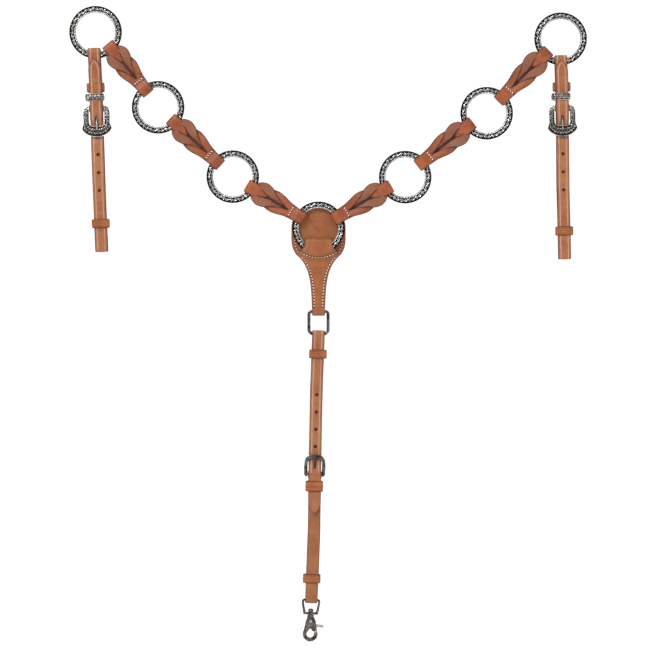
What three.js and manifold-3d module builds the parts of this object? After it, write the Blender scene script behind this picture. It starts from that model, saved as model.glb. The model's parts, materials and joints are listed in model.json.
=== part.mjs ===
// A western breast collar: seven ring links, six knotted connector straps, two buckled tugs,
// a stitched yoke, and a buckled girth strap that ends in a trigger snap.
// Millimetres. +X is to the viewer's right, +Z is up, and the front faces -Y.
// The origin is the centre of the centre ring.
import * as THREE from 'three';
import { mergeVertices } from 'three/addons/utils/BufferGeometryUtils.js';
import Module from 'manifold-3d';

const wasm = await Module();
wasm.setup();

// ---------- driving dimensions ----------

// Rings: a flat band with bevelled rims.
const ringInnerRadius = 29.5;
const ringBand = 10;
const ringThickness = 4;
const ringBevel = 2.5;
const ringRimThickness = 1.6;
const ringOuterRadius = ringInnerRadius + ringBand;

// Clearances.
const gap = 0.3;
const wireClearance = 0.7;
const wireSlack = 0.8;
const keeperSlack = 0.4;
const slotSlack = 0.4;
const bandSlack = 0.75;
const yokeGap = 0.4;

// Arms, listed from the centre ring outwards: the distance between two ring centres and the
// angle of the line between them above the horizontal. The connector lies beside that line by its
// shift, away from the tug. The sign is -1 on the left.
const arms = [
  {
    side: 'left', sign: -1, tugSideGap: 2.6, tugTilt: 2.15, barDrop: 92, billetReach: 74,
    spans: [
      { pitch: 149.7, angle: 30.8, shift: -0.2 },
      { pitch: 152.9, angle: 42.9, shift: 0 },
      { pitch: 146.5, angle: 50.2, shift: 2.3 },
    ],
  },
  {
    side: 'right', sign: 1, tugSideGap: 0.85, tugTilt: 1.05, barDrop: 80, billetReach: 70.5,
    spans: [
      { pitch: 150.6, angle: 30.3, shift: -0.5 },
      { pitch: 155.3, angle: 38.1, shift: 2 },
      { pitch: 157.4, angle: 45.2, shift: 0.3 },
    ],
  },
];

// Connector straps: a loop at each end and a knot between them.
const connectorPly = 2.5;
const connectorLoopGap = 8.6;
const connectorEndWidth = 20;
const connectorKnotWidth = 33.5;
const connectorWaistWidth = 24.5;

// Adjustable straps: the two tugs and the girth strap.
const strapWidth = 19;
const strapThickness = 3;
const strapLayerGap = 5.5;
const foldFlat = 2;
const holeRadius = 2.3;
const holeCounts = [1, 2, 3, 4];
const billetPoint = 7;
const tugLength = 307;
const tugFirstHole = 14.7;
const tugHolePitch = 27;
const girthLength = 411;
const girthBarRise = 194.5;
const girthBilletReach = 58;
const girthFirstHole = 15.5;
const girthHolePitch = 26;
const girthTilt = 1.6;

// Buckles.
const barRadius = 1.8;
const frameThickness = 3.2;
const frameTilt = 6;
const tongueWidth = 2.6;
const tongueThickness = 2;
// Both frames: the side gap lies between the strap and the window. The other widths are measured
// outwards from the window, and the places along the frame are measured from the bar.
const tugFrame = {
  sideGap: 2.1, hornWidth: 5.4, sideWidth: 8.4, flareWidth: 10.6, hornAt: -4, flareAt: 30, tipAt: 43,
  windowEnd: 26.3, windowCorner: 4,
};
const girthFrame = { sideGap: 1.4, sideWidth: 4.9, corner: 9, hornAt: -3, tipAt: 29, windowEnd: 23.4 };
const tongueOverhang = 6;

// Keepers.
const keeperWall = 2;
const keeperHeight = 13;
const keeperSideGap = 2;
const metalKeeperWall = 1.6;
const metalKeeperHeight = 10;
const metalKeeperShift = 1.5;
const billetKeeperHeight = 15.5;

// Keepers' places: the first three are below the bar, and the others are from the strap's ends.
const upperKeeperFromBar = 32;
const metalKeeperFromBar = 17;
const billetKeeperFromBar = 18;
const lowerKeeperFromFold = 43;
const linkKeeperFromFold = 36;
const snapKeeperFromFold = 37.5;

// Yoke: a leather panel behind the centre ring, with a front layer that loops over the ring.
const yokePly = 2.5;
const yokeHalfWidth = 40.7;
const yokeTop = 38.5;
const yokeShoulder = 40;
const yokeShoulderHalfWidth = 33.8;
const yokeFlareLength = 20;
const neckHalfWidth = 9.6;
const bandHalfWidth = 19.9;
const bandTop = 16;

// Rectangular link between the yoke and the girth strap.
const linkSideGap = 2.8;
const linkHeight = 38;
const linkWire = 4.2;
const linkTop = 123.5;

// Trigger snap.
const bowWire = 3.4;
const bowHeight = 24;
const bowSideGap = 1.35;
const bowFootWidth = 22.5;
const postRadius = 2;
const eyeOuterRadius = 11.4;
const eyeInnerRadius = 5.4;
const hookThickness = 7;
const hookLength = 28.8;
const rivetRadius = 1.5;
const rivetHeadRadius = 2.5;
const rivetHead = 0.9;
const rivetDrop = 9.4;
const footBar = 3.7;
const bossRadius = 4.2;
const triggerThickness = 3.6;
const leverLength = 10.5;
const leverHeight = 4.4;
const headRadius = 4.4;
const headHeight = 5.6;
const leverHalfWidth = 2.6;
const springWidth = 1;
const springThickness = 0.5;

// ---------- geometry helpers ----------

const degrees = THREE.MathUtils.degToRad;

// Takes (x, y, z) of an extrusion to (y, z, x): an outline in YZ, extruded along X.
const sideways = new THREE.Matrix4().makeBasis(
  new THREE.Vector3(0, 1, 0), new THREE.Vector3(0, 0, 1), new THREE.Vector3(1, 0, 0));

// Turns an extrusion of an XZ outline so that it runs along Y.
const facing = new THREE.Matrix4().makeRotationX(Math.PI / 2);

function solid(geometry) {
  const bare = geometry.index ? geometry.toNonIndexed() : geometry.clone();
  bare.deleteAttribute('normal');
  bare.deleteAttribute('uv');
  const welded = mergeVertices(bare, 1e-4);
  return new wasm.Manifold(new wasm.Mesh({
    numProp: 3,
    vertProperties: Float32Array.from(welded.attributes.position.array),
    triVerts: Uint32Array.from(welded.index.array),
  }));
}

function geometryOf(body) {
  const mesh = body.getMesh();
  const geometry = new THREE.BufferGeometry();
  geometry.setAttribute('position', new THREE.BufferAttribute(mesh.vertProperties, 3));
  geometry.setIndex(new THREE.BufferAttribute(mesh.triVerts, 1));
  geometry.computeVertexNormals();
  return geometry;
}

function extrude(shape, depth, curveSegments = 4, bevel = 0) {
  return new THREE.ExtrudeGeometry(shape, {
    depth: depth - 2 * bevel,
    steps: 1,
    curveSegments,
    bevelEnabled: bevel > 0,
    bevelThickness: bevel,
    bevelSize: bevel,
    bevelOffset: -bevel,
    bevelSegments: 1,
  }).translate(0, 0, bevel - depth / 2);
}

// A YZ outline given the width that it has along X.
function sidePlate(shape, width, curveSegments) {
  return extrude(shape, width, curveSegments).applyMatrix4(sideways);
}

// An XZ outline that fills the space between two Y values.
function facePlate(shape, front, back, curveSegments, bevel) {
  const plate = extrude(shape, back - front, curveSegments, bevel).applyMatrix4(facing);
  return plate.translate(0, (front + back) / 2, 0);
}

function rod(radius, length, axis, sides = 12) {
  const geometry = new THREE.CylinderGeometry(radius, radius, length, sides);
  if (axis === 'x') {
    geometry.rotateZ(Math.PI / 2);
  }
  if (axis === 'z') {
    geometry.rotateX(Math.PI / 2);
  }
  return geometry;
}

function polygon(points) {
  return new THREE.Shape(points.map(([x, y]) => new THREE.Vector2(x, y)));
}

// The points of a line whose corners are rounded: each corner is [x, y, radius].
function roundedLine(corners, step = 22.5) {
  const line = [];
  corners.forEach(([x, y, radius = 0], index) => {
    const corner = new THREE.Vector2(x, y);
    if (radius === 0) {
      line.push(corner);
      return;
    }
    const before = new THREE.Vector2(...corners[index - 1].slice(0, 2)).sub(corner).normalize();
    const after = new THREE.Vector2(...corners[index + 1].slice(0, 2)).sub(corner).normalize();
    const half = Math.acos(THREE.MathUtils.clamp(before.dot(after), -1, 1)) / 2;
    const middle = before.clone().add(after).normalize();
    const centre = corner.clone().addScaledVector(middle, radius / Math.sin(half));
    const first = corner.clone().addScaledVector(before, radius / Math.tan(half)).sub(centre);
    const sweep = Math.PI - 2 * half;
    const turn = Math.sign(before.cross(after)) * -sweep;
    const count = Math.max(2, Math.round(THREE.MathUtils.radToDeg(sweep) / step));
    for (let i = 0; i <= count; i += 1) {
      const angle = (-turn * i) / count;
      line.push(first.clone().rotateAround(new THREE.Vector2(), -angle).add(centre));
    }
  });
  return line;
}

// A band of even thickness along a line of points.
function ribbon(line, thickness) {
  const edge = (side) => line.map((point, index) => {
    const from = line[Math.max(index - 1, 0)];
    const to = line[Math.min(index + 1, line.length - 1)];
    const inward = point.clone().sub(from);
    const outward = to.clone().sub(point);
    if (inward.length() === 0) {
      inward.copy(outward);
    }
    if (outward.length() === 0) {
      outward.copy(inward);
    }
    inward.normalize();
    outward.normalize();
    const normal = new THREE.Vector2(-inward.y - outward.y, inward.x + outward.x).normalize();
    const miter = normal.dot(new THREE.Vector2(-inward.y, inward.x));
    return point.clone().addScaledVector(normal, (side * thickness) / 2 / miter);
  });
  return new THREE.Shape([...edge(1), ...edge(-1).reverse()]);
}

function roundedBox(halfWidth, low, high, radius, path = new THREE.Shape()) {
  path.moveTo(-halfWidth + radius, low);
  path.lineTo(halfWidth - radius, low);
  path.quadraticCurveTo(halfWidth, low, halfWidth, low + radius);
  path.lineTo(halfWidth, high - radius);
  path.quadraticCurveTo(halfWidth, high, halfWidth - radius, high);
  path.lineTo(-halfWidth + radius, high);
  path.quadraticCurveTo(-halfWidth, high, -halfWidth, high - radius);
  path.lineTo(-halfWidth, low + radius);
  path.quadraticCurveTo(-halfWidth, low, -halfWidth + radius, low);
  return path;
}

// ---------- materials ----------

const finishes = {
  grain: { color: 0x9a5a3a, roughness: 0.55, metalness: 0 },
  engraved: { color: 0x8c8a86, roughness: 0.35, metalness: 1 },
  blackened: { color: 0x3a3835, roughness: 0.4, metalness: 1 },
  gunmetal: { color: 0x4a4038, roughness: 0.35, metalness: 1 },
};

function part(name, body, finish) {
  const mesh = new THREE.Mesh(geometryOf(body), new THREE.MeshStandardMaterial(finishes[finish]));
  mesh.name = name;
  return mesh;
}

// ---------- rings ----------

function ringBody() {
  const half = ringThickness / 2;
  const rim = ringRimThickness / 2;
  const outerBevel = half - rim;
  const profile = [
    [ringInnerRadius, -rim], [ringInnerRadius + ringBevel, -half],
    [ringOuterRadius - outerBevel, -half], [ringOuterRadius, -rim],
    [ringOuterRadius, rim], [ringOuterRadius - outerBevel, half],
    [ringInnerRadius + ringBevel, half], [ringInnerRadius, rim], [ringInnerRadius, -rim],
  ];
  return solid(new THREE.LatheGeometry(profile.map(([x, y]) => new THREE.Vector2(x, y)), 48));
}

// How far from a ring's centre the inside of a strap's fold lies, where the strap wraps the ring.
function foldDistance(width, shift) {
  return Math.sqrt(ringInnerRadius ** 2 - (width / 2 + Math.abs(shift)) ** 2) - wireClearance;
}

// ---------- connector straps ----------

const connectorHalfThickness = connectorLoopGap / 2 + connectorPly;

// The side view of one end loop: z runs from the ring centre towards the knot.
function loopHole(fold) {
  const half = connectorLoopGap / 2;
  const straightEnd = ringOuterRadius + wireClearance;
  return polygon(roundedLine([
    [0, straightEnd + half * 1.5], [-half, straightEnd], [-half, fold, half - 0.01],
    [half, fold, half - 0.01], [half, straightEnd],
  ]));
}

function connectorBody({ pitch, shift }) {
  const fold = foldDistance(connectorEndWidth, shift);
  const low = fold - connectorPly;
  const high = pitch - low;
  const length = high - low;
  const half = connectorHalfThickness;
  const sideView = polygon(roundedLine([
    [-half, (low + high) / 2], [-half, low, half - 0.01], [half, low, half - 0.01],
    [half, high, half - 0.01], [-half, high, half - 0.01], [-half, (low + high) / 2 + 1],
  ]));
  const end = connectorEndWidth / 2;
  const knot = connectorKnotWidth / 2;
  const waist = connectorWaistWidth / 2;
  const profile = [
    [end, 1], [end + 1, 0.84], [knot, 0.68], [waist, 0.6], [knot - 0.5, 0.46],
    [waist, 0.21], [end, 0.12], [end, 0],
  ].map(([x, share]) => new THREE.Vector2(x, low + share * length));
  const rightEdge = new THREE.SplineCurve(profile).getPoints(24);
  const leftEdge = rightEdge.map((point) => new THREE.Vector2(-point.x, point.y)).reverse();
  const outline = new THREE.Shape([...rightEdge, ...leftEdge]);
  const lowerHole = solid(sidePlate(loopHole(fold), connectorKnotWidth + 2));
  const upperHole = lowerHole.rotate([180, 0, 0]).translate([0, 0, pitch]);
  return solid(sidePlate(sideView, connectorKnotWidth + 2))
    .intersect(solid(facePlate(outline, -half - 1, half + 1)))
    .subtract(lowerHole)
    .subtract(upperHole);
}

// ---------- adjustable straps ----------

// Layers, as Y values: the strap's front and back runs lie either side of what it hangs on.
const layerCentre = (strapLayerGap + strapThickness) / 2;
const barFold = barRadius + gap + strapThickness / 2;
const barY = layerCentre - strapThickness - gap - barFold;
const keeperFront = -layerCentre - strapThickness / 2 - keeperSlack;
const keeperBack = -keeperFront;
const keeperHalfWidth = strapWidth / 2 + keeperSideGap + keeperWall;
const billetY = Math.min(keeperFront - keeperWall, barY - barFold - strapThickness / 2)
  - gap - strapThickness / 2;
const railClearance = frameThickness / 2 + gap + strapThickness / 2;
const billetBend = 7.5;
const bendRadius = 8;
const railRun = 9;
const chapeReturn = 42;
const chapeBend = 6;
const chapeRun = 7;

// The slots for the tongue: how far each one runs from where the tongue crosses the leather.
const slotBefore = 7.6;
const slotAfter = 6.5;
const eyeSlotBefore = 6;

// In the strap's own frame the fold that holds the buckle's side lies at height 0, and heights
// run towards the far fold. A strap is a closed loop: the buckle's chape, the fold, the back run,
// the far fold, and the front run that passes the buckle and ends in the billet's point.
function strapBody({ length, bar, tip, rail, holes }) {
  const half = strapThickness / 2;
  const lean = Math.tan(degrees(frameTilt));
  const railY = barY - lean * rail.from + railClearance;
  const line = roundedLine([
    [barY + barFold, bar - chapeReturn],
    [barY + barFold, bar + barFold, barFold - 0.01],
    [barY - barFold, bar + barFold, barFold - 0.01],
    [barY - barFold, bar - chapeBend, chapeBend],
    [-layerCentre, bar - chapeBend - chapeRun, chapeBend],
    [-layerCentre, half, layerCentre - 0.01],
    [layerCentre, half, layerCentre - 0.01],
    [layerCentre, length - half, layerCentre - foldFlat / 2],
    [-layerCentre, length - half, layerCentre - foldFlat / 2],
    [-layerCentre, bar + rail.to + railRun, bendRadius],
    [railY, bar + rail.to, bendRadius],
    [railY, bar + rail.from, bendRadius],
    [billetY, bar + billetBend, bendRadius],
    [billetY, tip],
  ]);
  let body = solid(sidePlate(ribbon(line, strapThickness), strapWidth));
  const billetFront = billetY - strapThickness;
  const edge = strapWidth / 2;
  for (const side of [-1, 1]) {
    const corner = polygon(side > 0
      ? [[side, tip - 1], [edge + 1, tip - 1], [edge + 1, tip + billetPoint + 1]]
      : [[side, tip - 1], [-edge - 1, tip + billetPoint + 1], [-edge - 1, tip - 1]]);
    body = body.subtract(solid(facePlate(corner, billetFront, billetY + half + gap / 2)));
  }
  for (const height of holes) {
    const hole = rod(holeRadius, 2 * strapThickness, 'y').translate(0, -layerCentre - half, bar + height);
    body = body.subtract(solid(hole));
  }
  // The tongue passes from behind the billet to its front where their two slopes meet.
  const slope = (railY - billetY) / (rail.from - billetBend);
  const tongueY = barY - frameThickness / 2 - gap - tongueThickness / 2;
  const cross = bar + (tongueY - billetY + slope * billetBend) / (slope + lean);
  const slotHalf = tongueWidth / 2 + slotSlack;
  const slot = roundedBox(slotHalf, cross - slotBefore, cross + slotAfter, slotHalf - 0.05);
  body = body.subtract(solid(facePlate(slot, billetFront, layerCentre - half - gap)));
  const eyeSlot = roundedBox(slotHalf, bar - eyeSlotBefore, bar + slotAfter, 0.5);
  const eyeDepth = barFold + half + gap / 2;
  return body.subtract(solid(facePlate(eyeSlot, barY - eyeDepth, barY + eyeDepth)));
}

// Both frames are drawn flat around the bar at the origin, with the far rail at +Z.
function windowHalf(frame) {
  return strapWidth / 2 + frame.sideGap;
}

function tugFrameShape() {
  const { flareAt, tipAt, windowEnd, windowCorner, hornAt } = tugFrame;
  const window = windowHalf(tugFrame);
  const horn = window + tugFrame.hornWidth;
  const side = window + tugFrame.sideWidth;
  const flare = window + tugFrame.flareWidth;
  const shape = new THREE.Shape();
  shape.moveTo(window, hornAt);
  shape.lineTo(horn - 2, hornAt);
  shape.quadraticCurveTo(side - 0.5, hornAt + 3, side, 9);
  shape.quadraticCurveTo(side, 20, flare, flareAt);
  shape.quadraticCurveTo(flare - 3, tipAt - 4, 0, tipAt);
  shape.quadraticCurveTo(-flare + 3, tipAt - 4, -flare, flareAt);
  shape.quadraticCurveTo(-side, 20, -side, 9);
  shape.quadraticCurveTo(-side + 0.5, hornAt + 3, -horn + 2, hornAt);
  shape.lineTo(-window, hornAt);
  shape.lineTo(-window, windowEnd - windowCorner);
  shape.quadraticCurveTo(-window, windowEnd, -window + windowCorner, windowEnd);
  shape.lineTo(window - windowCorner, windowEnd);
  shape.quadraticCurveTo(window, windowEnd, window, windowEnd - windowCorner);
  shape.closePath();
  return shape;
}

function girthFrameShape() {
  const { corner, tipAt, windowEnd, hornAt, sideWidth } = girthFrame;
  const window = windowHalf(girthFrame);
  const side = window + sideWidth;
  const inner = corner - sideWidth;
  const shape = new THREE.Shape();
  shape.moveTo(window, hornAt);
  shape.lineTo(side - 1, hornAt);
  shape.lineTo(side, 0);
  shape.lineTo(side, tipAt - corner);
  shape.quadraticCurveTo(side, tipAt, side - corner, tipAt);
  shape.lineTo(corner - side, tipAt);
  shape.quadraticCurveTo(-side, tipAt, -side, tipAt - corner);
  shape.lineTo(-side, 0);
  shape.lineTo(-side + 1, hornAt);
  shape.lineTo(-window, hornAt);
  shape.lineTo(-window, windowEnd - inner);
  shape.quadraticCurveTo(-window, windowEnd, -window + inner, windowEnd);
  shape.lineTo(window - inner, windowEnd);
  shape.quadraticCurveTo(window, windowEnd, window, windowEnd - inner);
  shape.closePath();
  return shape;
}

function frameBody(shape, window) {
  const half = frameThickness / 2;
  return solid(facePlate(shape, -half, half, 5, 0.7)).add(solid(rod(barRadius, 2 * window + 2, 'x')));
}

function tongueBody(reach) {
  const back = -frameThickness / 2 - gap;
  const front = back - tongueThickness;
  const eyeRadius = barRadius + gap;
  const eye = new THREE.Shape().absarc(0, 0, eyeRadius + 1.6, 0, Math.PI * 2);
  eye.holes.push(new THREE.Path().absarc(0, 0, eyeRadius, 0, Math.PI * 2, true));
  const shaft = polygon([
    [front + 0.3, 0], [front, 8], [front, reach - 2], [front + 0.6, reach],
    [back, reach], [back, 2.5], [back, 0],
  ].reverse());
  const bore = solid(rod(eyeRadius, tongueWidth + 2, 'x', 16));
  return solid(sidePlate(shaft, tongueWidth))
    .add(solid(sidePlate(eye, tongueWidth, 4)))
    .subtract(bore);
}

function keeperBody(halfWidth, front, back, wall, height) {
  const ring = roundedBox(halfWidth, front - wall, back + wall, wall * 1.5);
  ring.holes.push(roundedBox(halfWidth - wall, front, back, wall * 0.5, new THREE.Path()));
  return solid(extrude(ring, height, 2));
}

// A buckled strap with its frame, tongue and keepers.
function buckledStrap({ prefix, length, bar, reach, frame, frameShape, finish, holes, keepers }) {
  const group = new THREE.Group();
  const rail = { from: frame.windowEnd - 2, to: frame.tipAt + 2 };
  const strap = strapBody({ length, bar, tip: bar - reach, rail, holes });
  group.add(part(`${prefix}_strap`, strap, 'grain'));
  const buckle = new THREE.Group();
  buckle.position.set(0, barY, bar);
  buckle.rotation.x = degrees(frameTilt);
  buckle.add(part(`${prefix}_buckle_frame`, frameBody(frameShape, windowHalf(frame)), finish));
  buckle.add(part(`${prefix}_buckle_tongue`, tongueBody(frame.windowEnd + tongueOverhang), finish));
  group.add(buckle);
  for (const { name, at, height, wall, shift, front, material } of keepers) {
    const body = keeperBody(keeperHalfWidth, front, keeperBack, wall, height);
    const mesh = part(`${prefix}_${name}`, body, material);
    mesh.position.set(shift, 0, at);
    group.add(mesh);
  }
  return group;
}

const billetKeeperFront = billetY - strapThickness / 2 - keeperSlack;
const leatherKeeper = {
  height: keeperHeight, wall: keeperWall, shift: 0, front: keeperFront, material: 'grain',
};

// How far to the side of the top ring's centre the tug hangs: it clears the last connector's corner.
function tugOffset(arm) {
  const { angle, shift } = arm.spans[arm.spans.length - 1];
  const turn = degrees(angle);
  const fold = foldDistance(connectorEndWidth, shift) - connectorPly;
  const corner = fold * Math.cos(turn) - (connectorEndWidth / 2 - shift) * Math.sin(turn);
  return arm.sign * (strapWidth / 2 + arm.tugSideGap - corner);
}

function tug(arm) {
  const strap = buckledStrap({
    prefix: `${arm.side}_tug`,
    length: tugLength,
    bar: arm.barDrop,
    reach: arm.billetReach,
    frame: tugFrame,
    frameShape: tugFrameShape(),
    finish: 'engraved',
    holes: holeCounts.map((count) => tugFirstHole + count * tugHolePitch),
    keepers: [
      { ...leatherKeeper, name: 'upper_keeper', at: arm.barDrop - upperKeeperFromBar },
      { ...leatherKeeper, name: 'lower_keeper', at: tugLength - lowerKeeperFromFold },
      {
        name: 'metal_keeper', at: arm.barDrop - metalKeeperFromBar, height: metalKeeperHeight,
        wall: metalKeeperWall, shift: metalKeeperShift, front: billetKeeperFront, material: 'engraved',
      },
    ],
  });
  strap.rotation.y = Math.PI;
  const offset = tugOffset(arm);
  const hang = foldDistance(strapWidth, offset) - strapThickness;
  strap.position.set(offset, 0, -hang);
  const swing = new THREE.Group();
  swing.add(strap);
  swing.rotation.y = -degrees(arm.tugTilt);
  return swing;
}

// ---------- yoke ----------

const yokeFront = connectorHalfThickness + yokeGap;
const yokeBack = yokeFront + yokePly;
const overlayY = yokeFront - gap - yokePly / 2;
const neckFold = linkWire / 2 + wireSlack + yokePly / 2;
const linkY = overlayY + neckFold;
const linkTopBar = -linkTop - linkWire / 2;
const linkBottomBar = -linkTop - linkHeight + linkWire / 2;

// The panel's right edge below its shoulder, narrowing from the flare to the neck.
function flareEdge(end) {
  const steps = 10;
  const drop = end - yokeShoulder;
  return Array.from({ length: steps + 1 }, (_, i) => {
    const depth = drop * (i / steps) ** 1.4;
    const flare = (yokeShoulderHalfWidth - neckHalfWidth) * Math.exp(-depth / yokeFlareLength);
    return new THREE.Vector2(neckHalfWidth + flare, -yokeShoulder - depth);
  });
}

function mirrored(rightEdge) {
  const leftEdge = rightEdge.map((point) => new THREE.Vector2(-point.x, point.y)).reverse();
  return new THREE.Shape([...rightEdge, ...leftEdge].reverse());
}

function yokePanelBody() {
  const crown = Array.from({ length: 9 }, (_, i) => {
    const angle = Math.PI / 2 - (i / 8) * (Math.PI / 2) * 0.999 - 0.001;
    return new THREE.Vector2(yokeHalfWidth * Math.cos(angle), yokeTop * Math.sin(angle));
  });
  const side = new THREE.QuadraticBezierCurve(
    new THREE.Vector2(yokeHalfWidth, -18), new THREE.Vector2(yokeHalfWidth, -32),
    new THREE.Vector2(yokeShoulderHalfWidth, -yokeShoulder)).getPoints(4);
  const edge = [...crown, ...side, ...flareEdge(linkTop - 4).slice(1)];
  return solid(facePlate(mirrored(edge), yokeFront, yokeBack));
}

// The front layer: it rises behind the ring, folds over inside it, comes down over its front,
// lies on the panel down to the neck, and folds under the link's top bar.
function yokeOverlayBody() {
  const band = ringThickness / 2 + bandSlack + yokePly / 2;
  const foldTop = -bandTop - yokePly / 2;
  const neckBottom = linkTopBar - neckFold;
  const line = roundedLine([
    [band, -ringOuterRadius - 2.5],
    [band, foldTop, band - 0.01],
    [-band, foldTop, band - 0.01],
    [-band, -ringOuterRadius - 1.5, 3],
    [overlayY, -ringOuterRadius - 11, 6],
    [overlayY, neckBottom, neckFold - 0.01],
    [overlayY + 2 * neckFold, neckBottom, neckFold - 0.01],
    [overlayY + 2 * neckFold, linkTopBar + 8, 4],
    [yokeBack + gap + yokePly / 2, linkTopBar + 14, 4],
    [yokeBack + gap + yokePly / 2, linkTopBar + 30],
  ]);
  const layers = solid(sidePlate(ribbon(line, yokePly), 2 * yokeHalfWidth + 2));
  const edge = [
    new THREE.Vector2(bandHalfWidth, -bandTop + 1),
    new THREE.Vector2(bandHalfWidth + 1.6, -28.8),
    ...flareEdge(linkTop + 14),
  ];
  return layers.intersect(solid(facePlate(mirrored(edge), -20, 20)));
}

// ---------- link ----------

function linkBody() {
  const half = strapWidth / 2 + linkSideGap + linkWire;
  const top = -linkTop;
  const bottom = -linkTop - linkHeight;
  const frame = new THREE.Shape();
  const trace = (path, inset) => {
    const x = half - inset;
    const high = top - inset;
    const low = bottom + inset;
    const upper = 5.5 - inset * 0.7;
    const lower = 8 - inset * 1.3;
    path.moveTo(x, high - upper);
    path.quadraticCurveTo(x, high, x - upper, high);
    path.lineTo(upper - x, high);
    path.quadraticCurveTo(-x, high, -x, high - upper);
    path.lineTo(-x, low + lower);
    path.quadraticCurveTo(-x + 0.5, low, lower - x, low);
    path.lineTo(x - lower, low);
    path.quadraticCurveTo(x - 0.5, low, x, low + lower);
    path.closePath();
  };
  trace(frame, 0);
  const opening = new THREE.Path();
  trace(opening, linkWire);
  frame.holes.push(opening);
  return solid(facePlate(frame, -linkWire / 2, linkWire / 2, 3, 1.1));
}

// ---------- girth strap ----------

function girth() {
  const strap = buckledStrap({
    prefix: 'girth',
    length: girthLength,
    bar: girthBarRise,
    reach: girthBilletReach,
    frame: girthFrame,
    frameShape: girthFrameShape(),
    finish: 'blackened',
    holes: holeCounts.map((count) => girthFirstHole + count * girthHolePitch),
    keepers: [
      { ...leatherKeeper, name: 'link_keeper', at: girthLength - linkKeeperFromFold },
      { ...leatherKeeper, name: 'snap_keeper', at: snapKeeperFromFold },
      {
        ...leatherKeeper, name: 'billet_keeper', at: girthBarRise - billetKeeperFromBar,
        height: billetKeeperHeight, front: billetKeeperFront,
      },
    ],
  });
  const drop = girthLength - strapThickness - wireSlack - linkWire / 2;
  strap.position.z = -drop;
  strap.add(snap());
  const swing = new THREE.Group();
  swing.add(strap);
  swing.position.set(0, linkY, linkBottomBar);
  swing.rotation.y = degrees(girthTilt);
  return swing;
}

// ---------- trigger snap ----------

// Heights below the bow's top bar.
const bowFoot = bowHeight - bowWire / 2;
const shoulder = bowFoot + gap;
const eyeCentre = -shoulder - hookLength;
const rivetAt = new THREE.Vector2(0.5, -shoulder - rivetDrop);
const cheekGap = triggerThickness + 2 * gap;

function bowBody() {
  const trace = (path, inset, lowInset) => {
    const topHalf = strapWidth / 2 + bowSideGap + bowWire - inset;
    const footHalf = bowFootWidth / 2 - inset;
    const high = bowWire / 2 - inset;
    const low = -bowFoot + lowInset;
    const round = 5 - inset;
    path.moveTo(topHalf, high - round);
    path.quadraticCurveTo(topHalf - 0.5, high, topHalf - round, high);
    path.lineTo(round - topHalf, high);
    path.quadraticCurveTo(0.5 - topHalf, high, -topHalf, high - round);
    path.lineTo(-footHalf, low + 1);
    path.lineTo(1 - footHalf, low);
    path.lineTo(footHalf - 1, low);
    path.lineTo(footHalf, low + 1);
    path.closePath();
  };
  const loop = new THREE.Shape();
  trace(loop, 0, 0);
  const opening = new THREE.Path();
  trace(opening, bowWire, footBar);
  loop.holes.push(opening);
  const boss = rod(bossRadius, footBar, 'z', 16).translate(0, 0, -bowFoot + footBar / 2);
  const bore = rod(postRadius + gap, footBar + 4, 'z', 16).translate(0, 0, -bowFoot + footBar / 2);
  return solid(facePlate(loop, -bowWire / 2, bowWire / 2, 3, 0.9))
    .add(solid(boss))
    .subtract(solid(bore));
}

function postBody() {
  const head = -bowFoot + footBar + gap;
  const profile = [
    [0, -shoulder - 4], [5, -shoulder - 4], [5, -shoulder - 1], [4, -shoulder], [postRadius, -shoulder],
    [postRadius, head], [headRadius * 0.85, head], [headRadius, head + headHeight * 0.4],
    [headRadius * 0.7, head + headHeight * 0.85], [0, head + headHeight],
  ].map(([x, y]) => new THREE.Vector2(x, y));
  return solid(new THREE.LatheGeometry(profile, 16).rotateX(Math.PI / 2));
}

// The trigger closes the eye between the cheeks and the hook's point.
function hookBody() {
  const half = hookThickness / 2;
  const shank = polygon([
    [-4.6, -shoulder - 2], [-7.2, -shoulder - 10], [-10, eyeCentre + 4], [-5, eyeCentre - 2],
    [5, eyeCentre - 2], [10, eyeCentre + 4], [8.4, -shoulder - 16], [8.2, -shoulder - 10],
    [4.6, -shoulder - 2],
  ]);
  const ring = new THREE.Shape().absarc(0, eyeCentre, eyeOuterRadius, 0, Math.PI * 2);
  const eye = rod(eyeInnerRadius, hookThickness + 2, 'y', 20).translate(0, 0, eyeCentre);
  const peak = polygon([[-4, eyeCentre + 4], [4, eyeCentre + 4], [0, eyeCentre + 8.5]]);
  const gate = polygon([
    [-0.5, eyeCentre + 6], [7.6, eyeCentre + 14.8], [14, eyeCentre + 14.8], [14, eyeCentre + 7.3],
    [4.5, eyeCentre + 1.2],
  ]);
  const slot = polygon([
    [-4, -shoulder - 5], [12, -shoulder - 5], [14, eyeCentre + 5], [3, eyeCentre], [-4, eyeCentre + 3],
  ]);
  return solid(facePlate(shank, -half, half, 4, 0.8))
    .add(solid(facePlate(ring, -half, half, 8, 1.2)))
    .add(postBody())
    .subtract(solid(eye))
    .subtract(solid(facePlate(peak, -half - 1, half + 1)))
    .subtract(solid(facePlate(gate, -half - 1, half + 1)))
    .subtract(solid(facePlate(slot, -cheekGap / 2, cheekGap / 2)))
    .subtract(solid(rod(rivetRadius + gap, hookThickness + 2, 'y').translate(rivetAt.x, 0, rivetAt.y)));
}

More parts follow.
